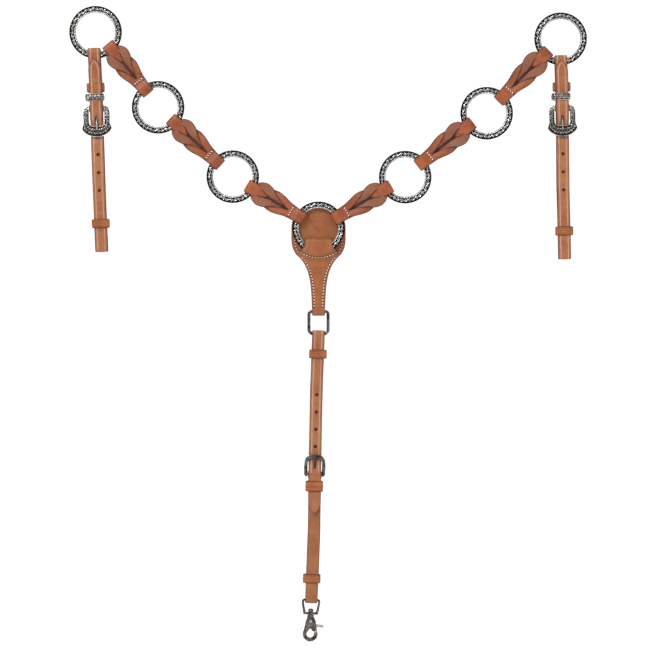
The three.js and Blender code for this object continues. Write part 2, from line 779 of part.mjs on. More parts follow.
function triggerBody() {
  const half = triggerThickness / 2;
  const plate = polygon([
    [-2.4, rivetAt.y + 1], [0.5, rivetAt.y + 3], [3.6, rivetAt.y + 1.5], [8, eyeCentre + 14.5],
    [10, eyeCentre + 14], [10.6, eyeCentre + 6.2], [6, eyeCentre + 3.2], [2, eyeCentre + 5.6],
    [1, eyeCentre + 10],
  ].reverse());
  const lever = polygon([
    [8.6, eyeCentre + 15], [9 + leverLength, eyeCentre + 14],
    [9.2 + leverLength, eyeCentre + 14 - leverHeight], [9.2, eyeCentre + 15 - leverHeight],
  ].reverse());
  const pocketDepth = springThickness + gap;
  const pocket = rod(rivetRadius + springWidth + 3 * gap, 2 * pocketDepth, 'y', 16)
    .translate(rivetAt.x, half, rivetAt.y);
  return solid(facePlate(plate, -half, half))
    .add(solid(facePlate(lever, -leverHalfWidth, leverHalfWidth, 4, 0.6)))
    .subtract(solid(pocket))
    .subtract(solid(rod(rivetRadius + gap, hookThickness, 'y').translate(rivetAt.x, 0, rivetAt.y)));
}

function rivetBody() {
  const half = hookThickness / 2 + gap;
  const profile = [
    [0, -half - rivetHead], [rivetRadius, -half - rivetHead], [rivetHeadRadius, -half],
    [rivetRadius, -half], [rivetRadius, half], [rivetHeadRadius, half],
    [rivetRadius, half + rivetHead], [0, half + rivetHead],
  ].map(([x, y]) => new THREE.Vector2(x, y));
  return solid(new THREE.LatheGeometry(profile, 12).translate(rivetAt.x, 0, rivetAt.y));
}

function springBody() {
  const inner = rivetRadius + gap;
  const outer = inner + springWidth;
  const back = triggerThickness / 2;
  const front = back - springThickness;
  const profile = [[inner, front], [outer, front], [outer, back], [inner, back], [inner, front]];
  const ring = new THREE.LatheGeometry(profile.map(([x, y]) => new THREE.Vector2(x, y)), 16);
  return solid(ring.translate(rivetAt.x, 0, rivetAt.y));
}

function snap() {
  const group = new THREE.Group();
  group.add(part('snap_bow', bowBody(), 'gunmetal'));
  group.add(part('snap_hook', hookBody(), 'gunmetal'));
  group.add(part('snap_trigger', triggerBody(), 'gunmetal'));
  group.add(part('snap_trigger_rivet', rivetBody(), 'gunmetal'));
  group.add(part('snap_trigger_spring', springBody(), 'gunmetal'));
  group.position.z = strapThickness + wireSlack + bowWire / 2;
  return group;
}

// ---------- assembly ----------

function along(from, sign, { pitch, angle }) {
  const turn = degrees(angle);
  return from.clone().add(new THREE.Vector3(sign * pitch * Math.cos(turn), 0, pitch * Math.sin(turn)));
}

function armGroup(arm) {
  const group = new THREE.Group();
  let centre = new THREE.Vector3();
  arm.spans.forEach((span, index) => {
    const strap = part(`${arm.side}_connector_${index + 1}`, connectorBody(span), 'grain');
    strap.position.copy(centre);
    strap.rotation.y = arm.sign * degrees(90 - span.angle);
    strap.translateX(-arm.sign * span.shift);
    group.add(strap);
    centre = along(centre, arm.sign, span);
    const ring = part(`${arm.side}_ring_${index + 1}`, ringBody(), 'engraved');
    ring.position.copy(centre);
    group.add(ring);
  });
  const hanging = tug(arm);
  hanging.position.copy(centre);
  group.add(hanging);
  return group;
}

const breastCollar = new THREE.Group();
breastCollar.add(part('centre_ring', ringBody(), 'engraved'));
arms.forEach((arm) => breastCollar.add(armGroup(arm)));
breastCollar.add(part('yoke_panel', yokePanelBody(), 'grain'));
breastCollar.add(part('yoke_overlay', yokeOverlayBody(), 'grain'));
const link = part('yoke_link', linkBody(), 'blackened');
link.position.y = linkY;
breastCollar.add(link);
breastCollar.add(girth());

export default breastCollar;
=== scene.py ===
"""The looks of a western breast collar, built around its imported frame. Everything is in metres."""

import json
import math

import bmesh
import bpy
import numpy as np
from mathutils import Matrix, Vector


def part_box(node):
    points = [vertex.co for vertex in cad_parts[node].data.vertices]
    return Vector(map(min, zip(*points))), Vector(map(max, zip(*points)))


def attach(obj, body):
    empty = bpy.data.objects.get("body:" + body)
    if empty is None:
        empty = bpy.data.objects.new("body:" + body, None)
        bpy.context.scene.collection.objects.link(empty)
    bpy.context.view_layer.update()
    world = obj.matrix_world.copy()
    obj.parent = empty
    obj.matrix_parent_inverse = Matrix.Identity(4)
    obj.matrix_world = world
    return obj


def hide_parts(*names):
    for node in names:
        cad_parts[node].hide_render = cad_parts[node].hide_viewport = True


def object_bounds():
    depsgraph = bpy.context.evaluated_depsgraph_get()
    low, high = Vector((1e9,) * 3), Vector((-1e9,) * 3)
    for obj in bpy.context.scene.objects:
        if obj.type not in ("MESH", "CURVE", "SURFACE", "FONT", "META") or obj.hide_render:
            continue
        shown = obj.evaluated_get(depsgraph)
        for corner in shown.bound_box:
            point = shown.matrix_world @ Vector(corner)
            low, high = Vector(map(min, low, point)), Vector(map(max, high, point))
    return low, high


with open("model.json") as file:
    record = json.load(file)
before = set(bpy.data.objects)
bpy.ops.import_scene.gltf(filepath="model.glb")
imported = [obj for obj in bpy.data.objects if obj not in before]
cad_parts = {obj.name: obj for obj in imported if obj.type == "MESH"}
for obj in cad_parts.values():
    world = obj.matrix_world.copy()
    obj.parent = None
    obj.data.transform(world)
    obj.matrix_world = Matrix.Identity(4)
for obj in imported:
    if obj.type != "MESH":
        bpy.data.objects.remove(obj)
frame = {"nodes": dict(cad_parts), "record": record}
cad_low, cad_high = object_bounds()

MM = 0.001
X_AXIS = np.array([1.0, 0.0, 0.0])
Y_AXIS = np.array([0.0, 1.0, 0.0])
Z_AXIS = np.array([0.0, 0.0, 1.0])

behaviour = frame["record"]["behaviour"]
JOINTS = {joint["name"]: joint for joint in behaviour["joints"]}
BODY_OF = {node: body for body, nodes in behaviour["bodies"].items() for node in nodes}


# ---------- curves ----------

def xyz(x, y, z):
    return np.stack(np.broadcast_arrays(x, y, z), axis=-1)


def round_turn(count, start=0.0):
    return (np.arange(count) + start) * 2 * math.pi / count


def unit(v):
    return v / np.linalg.norm(v, axis=-1, keepdims=True)


def centre_of(node):
    low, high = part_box(node)
    return (np.array(low) + np.array(high)) / 2


def spline(points, count):
    """A smooth curve through the points, as evenly spaced samples."""
    p = np.asarray(points, float)
    knots = travelled(p)
    slopes = np.gradient(p, knots, axis=0)
    t = np.linspace(0, knots[-1], count)
    i = np.clip(np.searchsorted(knots, t, side="right") - 1, 0, len(knots) - 2)
    h = (knots[i + 1] - knots[i])[:, None]
    s = (t - knots[i])[:, None] / h
    start = (2 * s**3 - 3 * s**2 + 1) * p[i] + (s**3 - 2 * s**2 + s) * h * slopes[i]
    return start + (3 * s**2 - 2 * s**3) * p[i + 1] + (s**3 - s**2) * h * slopes[i + 1]


def rounded(corners, closed=False, spacing=3 * MM, turn=math.radians(9)):
    """A 2D line whose corners, each (a, b, radius), are rounded. No gap is over the spacing."""
    line = []
    for i, corner in enumerate(corners):
        p = np.array(corner[:2], float)
        radius = corner[2] if len(corner) > 2 else 0
        if radius == 0:
            line.append(p)
            continue
        before = unit(np.array(corners[i - 1][:2], float) - p)
        after = unit(np.array(corners[(i + 1) % len(corners)][:2], float) - p)
        half = math.acos(np.clip(before @ after, -1, 1)) / 2
        centre = p + unit(before + after) * radius / math.sin(half)
        start = p + before * radius / math.tan(half) - centre
        end = p + after * radius / math.tan(half) - centre
        side = np.sign(start[0] * end[1] - start[1] * end[0])
        steps = max(2, round((math.pi - 2 * half) / turn))
        for k in range(steps + 1):
            a = side * (math.pi - 2 * half) * k / steps
            spun = (start[0] * math.cos(a) - start[1] * math.sin(a),
                    start[0] * math.sin(a) + start[1] * math.cos(a))
            line.append(centre + spun)
    ends = line + line[:1] if closed else line
    dense = [line[0]]
    for a, b in zip(ends, ends[1:]):
        gap = np.linalg.norm(b - a)
        if gap < 1e-6:
            continue
        count = max(1, math.ceil(gap / spacing))
        dense += [a + (b - a) * k / count for k in range(1, count + 1)]
    return np.array(dense[:-1] if closed else dense)


def travelled(line):
    """How far along the line each of its points is."""
    return np.concatenate([[0], np.cumsum(np.linalg.norm(np.diff(line, axis=0), axis=1))])


def tangents(line, closed=False):
    if closed:
        return unit(np.roll(line, -1, axis=0) - np.roll(line, 1, axis=0))
    return unit(np.gradient(line, axis=0))


# ---------- shells: the closed surfaces that a piece is joined from ----------

FAR_FROM_EDGE = 99.0


class Shell:
    """Vertices, faces, a material index, and three values for each vertex: how far in from the
    edge it is (mm), how much of it is the flesh side, and how high the engraving stands (on
    leather, a low value paints shade)."""

    def __init__(self, vertices, faces, inset=FAR_FROM_EDGE, flesh=0.0, relief=1.0, slot=0):
        self.vertices = np.asarray(vertices, float)
        self.faces = faces
        count = len(self.vertices)
        self.values = {
            "inset": np.broadcast_to(inset, count),
            "flesh": np.broadcast_to(flesh, count),
            "relief": np.broadcast_to(relief, count),
        }
        self.slot = slot


def add_object(name, data):
    obj = bpy.data.objects.new(name, data)
    bpy.context.collection.objects.link(obj)
    return obj


def make(name, shells, materials):
    """One object from the shells, faces outward, smooth."""
    vertices = np.concatenate([shell.vertices for shell in shells])
    faces, slots, start = [], [], 0
    for shell in shells:
        faces += [tuple(start + i for i in face) for face in shell.faces]
        slots += [shell.slot] * len(shell.faces)
        start += len(shell.vertices)
    mesh = bpy.data.meshes.new(name)
    mesh.from_pydata(vertices.tolist(), [], faces)
    mesh.polygons.foreach_set("material_index", slots)
    work = bmesh.new()
    work.from_mesh(mesh)
    bmesh.ops.recalc_face_normals(work, faces=work.faces)
    work.to_mesh(mesh)
    work.free()
    mesh.polygons.foreach_set("use_smooth", [True] * len(mesh.polygons))
    for key in ("inset", "flesh", "relief"):
        values = np.concatenate([shell.values[key] for shell in shells])
        layer = mesh.attributes.new(key, "FLOAT", "POINT")
        layer.data.foreach_set("value", values.astype(np.float32))
    for material in materials:
        mesh.materials.append(material)
    return add_object(name, mesh)


def faces_between(rows, sides, closed=False):
    """Quads between rows of points, with a cap on each end unless the last row meets the first."""
    faces = []
    for i in range(rows if closed else rows - 1):
        j = (i + 1) % rows
        faces += [(i * sides + k, i * sides + (k + 1) % sides, j * sides + (k + 1) % sides,
                   j * sides + k) for k in range(sides)]
    if not closed:
        faces.append(tuple(range(sides)))
        faces.append(tuple((rows - 1) * sides + k for k in reversed(range(sides))))
    return faces


def sweep(centres, across, normals, halves, section, closed=False, relief=None, flesh=False,
          end_round=0.7 * MM):
    """A section carried along stations. section(half) gives its points as (across, normal, inset,
    face): face is 1 on the front, -1 on the back and 0 on the edges. relief(u, x, half, face)
    gives a height from 0 to 1 and how far the surface stands out; on leather a low height paints
    shade."""
    count = len(centres)
    across = np.broadcast_to(across, (count, 3))
    normals = np.broadcast_to(normals, (count, 3))
    halves = np.broadcast_to(halves, count).astype(float)
    stations = [(centres[i], across[i], normals[i], halves[i], 0.0) for i in range(count)]
    if not closed:
        for end, inner in ((0, 1), (-1, -2)):
            out = unit(centres[end] - centres[inner])
            extra = []
            for angle in (40, 75):
                reach = end_round * math.sin(math.radians(angle))
                pull = end_round * (1 - math.cos(math.radians(angle)))
                spot = centres[end] + out * reach
                extra.append((spot, across[end], normals[end], halves[end], pull))
            stations = extra[::-1] + stations if end == 0 else stations + extra
    middle = np.array([s[0] for s in stations])
    u = travelled(middle)
    rows = [section(s[3]) for s in stations]
    rings, inset, face = [], [], []
    for (*_, half, pull), row in zip(stations, rows):
        x, y = row[:, 0].copy(), row[:, 1].copy()
        if pull:
            x *= 1 - min(pull / half, 0.9)
            y *= 1 - min(pull / max(np.abs(y).max(), 1e-6), 0.9)
        rings.append((x, y))
        inset.append(row[:, 2])
        face.append(row[:, 3])
    x = np.array([r[0] for r in rings])
    y = np.array([r[1] for r in rings])
    inset, face = np.array(inset), np.array(face)
    height = np.ones_like(x)
    if relief:
        width = np.array([s[3] for s in stations])[:, None]
        height, stand = relief(u[:, None], x, width, face)
        y = y + stand * np.sign(face)
    a = np.array([s[1] for s in stations])[:, None, :]
    n = np.array([s[2] for s in stations])[:, None, :]
    vertices = middle[:, None, :] + a * x[..., None] + n * y[..., None]
    faces = faces_between(*x.shape, closed)
    front = np.clip(face if flesh else -face, 0, 1)
    return Shell(vertices.reshape(-1, 3), faces, inset.ravel(), front.ravel(), height.ravel())


def edged(x, top, bottom, radius, edge_steps=3):
    """Closes a section: top and bottom runs of heights over x, joined by rounded edges."""
    angles = np.radians(np.linspace(0, 90, edge_steps + 1)[1:])
    half = np.abs(x).max() + radius
    rise_x = np.abs(x).max() + radius * np.sin(angles)
    fall = radius * (1 - np.cos(angles))
    right = [(px, top[-1] - f, 0, 0) for px, f in zip(rise_x, fall)]
    right += [(px, bottom[-1] + f, 0, 0) for px, f in zip(rise_x[::-1], fall[::-1])]
    left = [(-px, py, i, f) for px, py, i, f in reversed(right)]
    inset = (half - np.abs(x)) / MM
    front = [(px, py, i, 1) for px, py, i in zip(x, top, inset)]
    back = [(px, py, i, -1) for px, py, i in zip(x[::-1], bottom[::-1], inset[::-1])]
    return np.array(front + right + back + left)


def leather_section(thickness, crease=1.8 * MM, depth=0.22 * MM, crown=0.3 * MM, columns=4):
    """Flat leather: rounded edges, a slight crown, and a creased line inside each edge."""
    def at(half):
        half = max(half, 0.8 * MM)
        radius = min(0.42 * thickness, 0.35 * half)
        flat = half - radius
        line = max(flat - crease, 0.4 * flat)
        near = min(0.45 * MM, 0.2 * (flat - line) + 1e-5)
        right = np.linspace(0, 0.88, columns) * line
        outer = [line - near, line, line + near, (line + flat) / 2 + near / 2, flat]
        right = np.concatenate([right, outer])
        x = np.concatenate([-right[:0:-1], right])
        groove = depth * np.exp(-(((np.abs(x) - line) / (0.7 * near)) ** 2))
        top = thickness / 2 - crown * (x / half) ** 2 - groove
        return edged(x, top, np.full_like(x, -thickness / 2), radius)
    return at


def round_section(radius_x, radius_y, sides=14):
    """A rod's section. Its half width is not used."""
    angles = round_turn(sides)
    points = np.stack([radius_x * np.cos(angles), radius_y * np.sin(angles)], axis=1)
    extra = np.stack([np.full(sides, 9.0), np.sign(np.round(points[:, 1], 9))], axis=1)
    row = np.concatenate([points, extra], axis=1)
    return lambda half: row


def metal_section(thickness, dome, points=21, radius=0.6 * MM):
    """A cast metal band: domed front, flat back."""
    def at(half):
        flat = half - radius
        x = np.linspace(-flat, flat, points)
        top = thickness / 2 + dome * (1 - (x / half) ** 2)
        return edged(x, top, np.full_like(x, -thickness / 2), radius)
    return at


# ---------- engraving ----------

def scrolls(cell, deep, border):
    """Relief on the front: a winding vine with curled tendrils between two beaded borders."""
    def relief(u, x, half, face):
        v = x / half
        inner = 1 - border / half
        phase = u / cell
        local = (phase - np.floor(phase) - 0.5) * cell
        wave = 0.45 * inner * np.sin(2 * math.pi * phase)
        height = np.exp(-(((v - wave) * half) / (0.42 * MM)) ** 2)
        for shift, side in ((-0.25, -1), (0.25, 1)):
            du = local - shift * cell
            dv = (v - side * 0.34 * inner) * half
            rho = np.hypot(du, dv) / MM
            phi = np.arctan2(dv, du) * side
            curl = 0.35 + 0.2 * (phi + math.pi)
            height = np.maximum(height, np.exp(-((rho - curl) / 0.34) ** 2))
        bead = np.exp(-((np.abs(v) - inner) * half / (0.3 * MM)) ** 2)
        height = np.maximum(height, bead * (0.6 + 0.4 * np.sin(2 * math.pi * u / (1.9 * MM))))
        height = np.where(np.abs(v) > inner + 0.3 * MM / half, 0.8, height)
        use = np.where(face > 0, 1, 0)
        height = np.where(use > 0, height, 0.7)
        return height, (height - 1) * deep * use
    return relief


# ---------- materials ----------

# In mm in from the edge: where the creases are darkened with painted shade, then where the painted
# highlight band lies.
CREASE_INSET = 2.9
HIGHLIGHT_INSET = 3.9

def new_material(name):
    material = bpy.data.materials.new(name)
    material.use_nodes = True
    tree = material.node_tree
    return material, tree, tree.nodes["Principled BSDF"]


def node(tree, kind, inputs=None, **settings):
    made = tree.nodes.new(kind)
    for key, value in settings.items():
        setattr(made, key, value)
    for key, value in (inputs or {}).items():
        if isinstance(value, bpy.types.NodeSocket):
            tree.links.new(value, made.inputs[key])
        else:
            made.inputs[key].default_value = value
    return made


def feed(tree, shader, **sockets):
    """Links each value to the shader's socket of that name, with _ for a space."""
    for key, value in sockets.items():
        tree.links.new(value, shader.inputs[key.replace("_", " ")])


def add_bump(tree, shader, height, strength, distance):
    inputs = {"Height": height, "Strength": strength, "Distance": distance}
    feed(tree, shader, Normal=node(tree, "ShaderNodeBump", inputs).outputs["Normal"])


def attribute(tree, name):
    return node(tree, "ShaderNodeAttribute", attribute_name=name).outputs["Fac"]


def noise(tree, scale, detail=3.0, stretch=(1, 1, 1)):
    place = node(tree, "ShaderNodeTexCoord").outputs["Object"]
    mapped = node(tree, "ShaderNodeMapping", {"Vector": place, "Scale": stretch}).outputs["Vector"]
    inputs = {"Vector": mapped, "Scale": scale, "Detail": detail}
    return node(tree, "ShaderNodeTexNoise", inputs).outputs["Fac"]


def ranged(tree, value, low, high, to_low=0.0, to_high=1.0):
    inputs = {"Value": value, "From Min": low, "From Max": high, "To Min": to_low,
              "To Max": to_high}
    return node(tree, "ShaderNodeMapRange", inputs).outputs["Result"]


def maths(tree, operation, a, b=0.0):
    return node(tree, "ShaderNodeMath", {0: a, 1: b}, operation=operation).outputs[0]


def mix(tree, factor, a, b):
    made = node(tree, "ShaderNodeMix", data_type="RGBA")
    for socket, value in ((made.inputs[0], factor), (made.inputs[6], a), (made.inputs[7], b)):
        if isinstance(value, bpy.types.NodeSocket):
            tree.links.new(value, socket)
        else:
            socket.default_value = value
    return made.outputs[2]


def rgb(red, green, blue):
    """An sRGB colour, 0 to 255, as linear RGBA."""
    share = [c / 255 for c in (red, green, blue)]
    return [c / 12.92 if c <= 0.04045 else ((c + 0.055) / 1.055) ** 2.4 for c in share] + [1.0]


def leather(name, light, dark, painted_sheen, edge, flesh, gloss, highlight_band=0.6):
    """Oiled leather: mottled grain, a painted highlight band inside the creases, painted shade in
    the creases and where the relief value is low, dyed edges, suede flesh.
    """
    material, tree, shader = new_material(name)
    blotch = ranged(tree, noise(tree, 38, 4), 0.35, 0.65)
    mottle = ranged(tree, noise(tree, 210, 5), 0.3, 0.7)
    highlight_streak = ranged(tree, noise(tree, 130, 4, (1, 1, 0.12)), 0.35, 0.65)
    fibre = noise(tree, 900, 6)
    tone = maths(tree, "MULTIPLY", blotch, 0.6)
    tone = maths(tree, "ADD", tone, maths(tree, "MULTIPLY", mottle, 0.4))
    grain = mix(tree, tone, rgb(*dark), rgb(*light))
    inset = attribute(tree, "inset")
    # Painted highlight: a lighter band of the sheen colour just inside each crease, streaked by
    # noise.
    off = maths(tree, "ABSOLUTE", maths(tree, "SUBTRACT", inset, HIGHLIGHT_INSET))
    lit = ranged(tree, off, 0.3, 1.5, highlight_band, 0.0)
    lit = maths(tree, "MULTIPLY", lit, ranged(tree, highlight_streak, 0, 1, 0.55, 1.0))
    grain = mix(tree, lit, grain, rgb(*painted_sheen))
    # Painted shade: the creased groove is darkened toward the edge colour.
    crease = maths(tree, "ABSOLUTE", maths(tree, "SUBTRACT", inset, CREASE_INSET))
    crease = ranged(tree, crease, 0.1, 0.5, 0.45, 0.0)
    grain = mix(tree, crease, grain, rgb(*edge))
    deep_flesh = [c * 0.78 for c in rgb(*flesh)[:3]] + [1]
    suede = mix(tree, ranged(tree, fibre, 0.35, 0.65), deep_flesh, rgb(*flesh))
    suede = mix(tree, maths(tree, "MULTIPLY", blotch, 0.4), suede, rgb(*dark))
    side = attribute(tree, "flesh")
    body = mix(tree, side, grain, suede)
    # Painted shade: a low relief value darkens the leather toward the edge colour. It paints the
    # shadow above the yoke's smile and the shade inside the knots, and darkens the girth towards the
    # bottom.
    shade = ranged(tree, attribute(tree, "relief"), 0.0, 1.0, 0.85, 0.0)
    body = mix(tree, shade, body, rgb(*edge))
    worn = maths(tree, "ADD", inset, ranged(tree, noise(tree, 520, 4), 0.3, 0.7, -0.25, 0.25))
    dyed = ranged(tree, worn, 0.35, 1.3, 0.95, 0.0)
    feed(tree, shader, Base_Color=mix(tree, dyed, body, rgb(*edge)))
    rough = ranged(tree, mottle, 0, 1, gloss - 0.06, gloss + 0.1)
    rough = maths(tree, "ADD", rough, maths(tree, "MULTIPLY", side, 0.35))
    feed(tree, shader, Roughness=rough)
    shader.inputs["Specular IOR Level"].default_value = 0.34
    place = node(tree, "ShaderNodeTexCoord").outputs["Object"]
    pores = node(tree, "ShaderNodeTexVoronoi", {"Vector": place, "Scale": 1500.0})
    wrinkles = noise(tree, 700, 6, (1, 1, 0.55))
    relief = maths(tree, "ADD", maths(tree, "MULTIPLY", pores.outputs["Distance"], 0.35), wrinkles)
    relief = maths(tree, "ADD", relief, maths(tree, "MULTIPLY", fibre, side))
    add_bump(tree, shader, relief, 0.4, 0.00025)
    return material


def engraved(name, low, high, ground, dull, bright, ground_shine=0.15):
    """Antiqued silver: bright where the relief stands, blackened in its ground."""
    material, tree, shader = new_material(name)
    wear = ranged(tree, noise(tree, 330, 5), 0.3, 0.7, -0.1, 0.1)
    stands = ranged(tree, maths(tree, "ADD", attribute(tree, "relief"), wear), low, high)
    silver = mix(tree, ranged(tree, noise(tree, 120, 3), 0.35, 0.65), rgb(*dull), rgb(*bright))
    feed(tree, shader, Base_Color=mix(tree, stands, rgb(*ground), silver))
    feed(tree, shader, Roughness=ranged(tree, stands, 0, 1, 0.55, 0.24))
    feed(tree, shader, Metallic=ranged(tree, stands, 0, 1, 0.0, 1.0))
    shader.inputs["Specular IOR Level"].default_value = ground_shine
    add_bump(tree, shader, noise(tree, 1600, 4), 0.25, 0.0001)
    return material


def steel(name, dark, light, roughness):
    """Cast or bent metal with a mottled dark finish."""
    material, tree, shader = new_material(name)
    patch = ranged(tree, noise(tree, 160, 5), 0.35, 0.7)
    feed(tree, shader, Base_Color=mix(tree, patch, rgb(*dark), rgb(*light)))
    fine = noise(tree, 900, 5)
    rough = ranged(tree, fine, 0.3, 0.7, roughness - 0.08, roughness + 0.1)
    feed(tree, shader, Roughness=rough)
    shader.inputs["Metallic"].default_value = 1.0
    add_bump(tree, shader, fine, 0.2, 0.0001)
    return material


def plain_finish(name, dark, light, scale, roughness, bump=0.0):
    """A finely mottled surface, for the thread and for the dark pegs that paint the shade inside
    stitch holes.
    """
    material, tree, shader = new_material(name)
    fine = noise(tree, scale, 3)
    feed(tree, shader, Base_Color=mix(tree, fine, rgb(*dark), rgb(*light)))
    shader.inputs["Roughness"].default_value = roughness
    if bump:
        add_bump(tree, shader, fine, bump, 0.0002)
    return material


# Leather: light, dark, painted sheen (highlight), edge (dye, also the painted shade's colour)
# and flesh colours, then roughness and the painted highlight band's strength.
TAN = leather("tan_leather", (152, 99, 62), (126, 73, 40), (204, 158, 140), (84, 40, 26),
              (140, 98, 72), 0.42)
YOKE_TAN = leather("yoke_leather", (148, 90, 48), (124, 66, 32), (164, 108, 78), (74, 34, 22),
                   (134, 88, 60), 0.42, 0.3)
RUSSET = leather("russet_leather", (150, 78, 38), (108, 48, 22), (172, 108, 76), (48, 20, 13),
                 (136, 88, 66), 0.42, 0.2)
KEEPER = leather("keeper_leather", (156, 90, 44), (116, 54, 26), (180, 118, 84), (58, 24, 14),
                 (130, 84, 58), 0.36, 0.4)
RING_SILVER = engraved("antiqued_ring_silver", 0.48, 0.78, (8, 7, 7), (190, 187, 182),
                       (250, 248, 243), 0.08)
SILVER = engraved("antiqued_silver", 0.34, 0.72, (22, 19, 17), (190, 184, 177), (250, 247, 241))
BLACK_STEEL = steel("blackened_steel", (40, 39, 40), (112, 110, 110), 0.24)
GUNMETAL = steel("gunmetal", (42, 37, 34), (128, 117, 108), 0.18)
BRIGHT = steel("bright_steel", (140, 138, 134), (212, 210, 206), 0.2)
THREAD = plain_finish("waxed_thread", (205, 190, 178), (250, 244, 236), 1800, 0.6, 0.5)
# Painted shade for the stitch holes: the dark colour of the pegs that stand in for each hole's
# shaded inside.
HOLE_SHADE = plain_finish("painted_hole_shade", (38, 16, 10), (64, 28, 18), 900, 0.85)


# ---------- placing ----------

THREAD_SLOT = 1
HOLE_SHADE_SLOT = 2
STITCH_HOLE_RADIUS = 1.1 * MM


def stands_for(piece, cad_node):
    """The piece rides with the CAD node's body and is shown in its place."""
    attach(piece, BODY_OF[cad_node])
    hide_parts(cad_node)


def show(cad_node, suffix, shells, materials):
    stands_for(make(f"{cad_node}_{suffix}", shells, materials), cad_node)


class Place:
    """A local frame: points are (x, y, z) along x_axis, y_axis and z_axis from the origin."""

    def __init__(self, origin, x_axis, z_axis, y_axis=Y_AXIS):
        self.origin = np.asarray(origin, float)
        self.axes = np.array([x_axis, y_axis, z_axis], float)

    def point(self, points):
        return self.origin + np.asarray(points, float) @ self.axes

    def way(self, vectors):
        return np.asarray(vectors, float) @ self.axes


def upright(place, line, x=0.0):
    """A (y, z) line as world points, with the outward normals to its left."""
    flow = tangents(line)
    points = place.point(xyz(x, *line.T))
    normals = place.way(xyz(0, flow[:, 1], -flow[:, 0]))
    return points, normals


def capsule(a, b, radius, slot):
    """A short rounded thread or peg from a to b."""
    along = b - a
    length = np.linalg.norm(along)
    along = along / length
    side = unit(np.cross(along, Y_AXIS if abs(along[1]) < 0.9 else X_AXIS))
    other = np.cross(along, side)
    shares = ((0.0, 0.35), (0.14, 0.85), (0.5, 1.0), (0.86, 0.85), (1.0, 0.35))
    sides = 7
    angles = round_turn(sides)
    ring = np.cos(angles)[:, None] * side + np.sin(angles)[:, None] * other
    vertices = np.concatenate([a + along * length * s + ring * radius * r for s, r in shares])
    return Shell(vertices, faces_between(len(shares), sides), slot=slot)


def stitches(line, outward, pitch=4.5 * MM, length=2.3 * MM, radius=0.64 * MM, slant=0.0):
    """A row of stitches along a line, with a dark peg between each two that paints the shade of a
    stitch hole.
    """
    line = np.asarray(line)
    reach = travelled(line)
    count = max(1, int(reach[-1] / pitch))
    at = lambda s: np.array([np.interp(s, reach, line[:, k]) for k in range(3)])
    margin = (reach[-1] - count * pitch) / 2
    shells = []
    for i in range(count):
        middle = margin + (i + 0.5) * pitch
        a, b = at(middle - length / 2), at(middle + length / 2)
        lean = np.cross(unit(b - a), outward) * slant
        shells.append(capsule(a - lean, b + lean, radius, THREAD_SLOT))
    # Dark pegs in painted shade stand in for the stitch holes.
    for i in range(count + 1):
        middle = at(np.clip(margin + i * pitch, 0, reach[-1]))
        shells.append(capsule(middle - outward * 0.4 * MM, middle + outward * 0.26 * MM,
                              STITCH_HOLE_RADIUS, HOLE_SHADE_SLOT))
    return shells


# ---------- rings ----------

RING_RADIUS = 34.5 * MM
RING_HALF_BAND = 5 * MM
RING_STATIONS = 720
RING_SCROLLS = 19
RING_FLUTES = 88


def ring_section(half):
    """Inner bevel, engraved flat, outer bevel; the same on both faces."""
    x = np.concatenate([[-4.95, -4.4, -3.6, -2.8], np.linspace(-2.45, 3.95, 27), [4.4, 4.9]]) * MM
    top = np.interp(x / MM, [-4.95, -2.6, 3.95, 4.9], [0.55, 1.95, 1.95, 0.9]) * MM
    front = [(px, py, 9, 1) for px, py in zip(x, top)]
    back = [(px, -py, 9, -1) for px, py in zip(x[::-1], top[::-1])]
    return np.array(front + back)


def ring_relief(u, x, half, face):
    """Scrolls on the flat band, flutes on the inner bevel, and a dark outer rim."""
    band_middle, band_half = 0.55 * MM, 3.0 * MM
    inside = np.abs(x - band_middle) <= band_half + 1e-6
    around = 2 * math.pi * RING_RADIUS
    cell = around / RING_SCROLLS
    height = vine(u / cell, (x - band_middle) / band_half, cell, band_half)
    stand = (height - 1) * 0.55 * MM * np.sign(face)
    flute = 0.5 + 0.5 * np.sin(2 * math.pi * u * RING_FLUTES / around)
    bevel = x < -2.5 * MM
    height = np.where(inside, height, np.where(bevel, 0.25 + 0.75 * (1 - flute), 0.0))
    stand = np.where(inside, stand, np.where(bevel & (x > -4.9 * MM), -0.3 * MM * flute, 0))
    return height, stand


def vine(phase, v, cell, half):
    """Bold scrollwork: a winding stem and one thick curled leaf in each of its bends."""
    share = phase - np.floor(phase)
    stem = np.exp(-(((v - 0.5 * np.sin(2 * math.pi * share)) * half) / (0.52 * MM)) ** 2)
    height = stem
    for shift, side in ((0.25, -1), (0.75, 1)):
        du = (share - shift - np.round(share - shift)) * cell
        dv = (v - side * 0.3) * half
        rho, phi = np.hypot(du, dv) / MM, np.arctan2(dv, du) * side
        height = np.maximum(height, np.exp(-((rho - 1.25 - 0.2 * phi) / 0.38) ** 2) * (phi < 1.4))
    return height * np.clip((1.0 - np.abs(v)) / 0.08, 0, 1)


def make_rings():
    angles = round_turn(RING_STATIONS)
    radial = xyz(np.cos(angles), 0, np.sin(angles))
    shell = sweep(radial * RING_RADIUS, radial, -Y_AXIS, RING_HALF_BAND, ring_section, closed=True,
                  relief=ring_relief)
    first = make("ring_silver_0", [shell], [RING_SILVER])
    names = ["centre_ring"] + [f"{side}_ring_{k}" for side in ("left", "right") for k in (1, 2, 3)]
    for i, cad_node in enumerate(names):
        ring = first
        if i:
            ring = add_object(f"ring_silver_{i}", first.data)
        ring.location = centre_of(cad_node)
        ring.rotation_euler = (0, i * math.pi / 2, 0)
        stands_for(ring, cad_node)


# ---------- knotted connectors ----------

CONNECTOR_PLY = 2.3 * MM
LOOP_CENTRE = 5.5 * MM
FOLD_FROM_RING = 24.3 * MM
SEAM_FROM_FOLD = 24.0 * MM
KNOT_LENGTH = 104.4 * MM


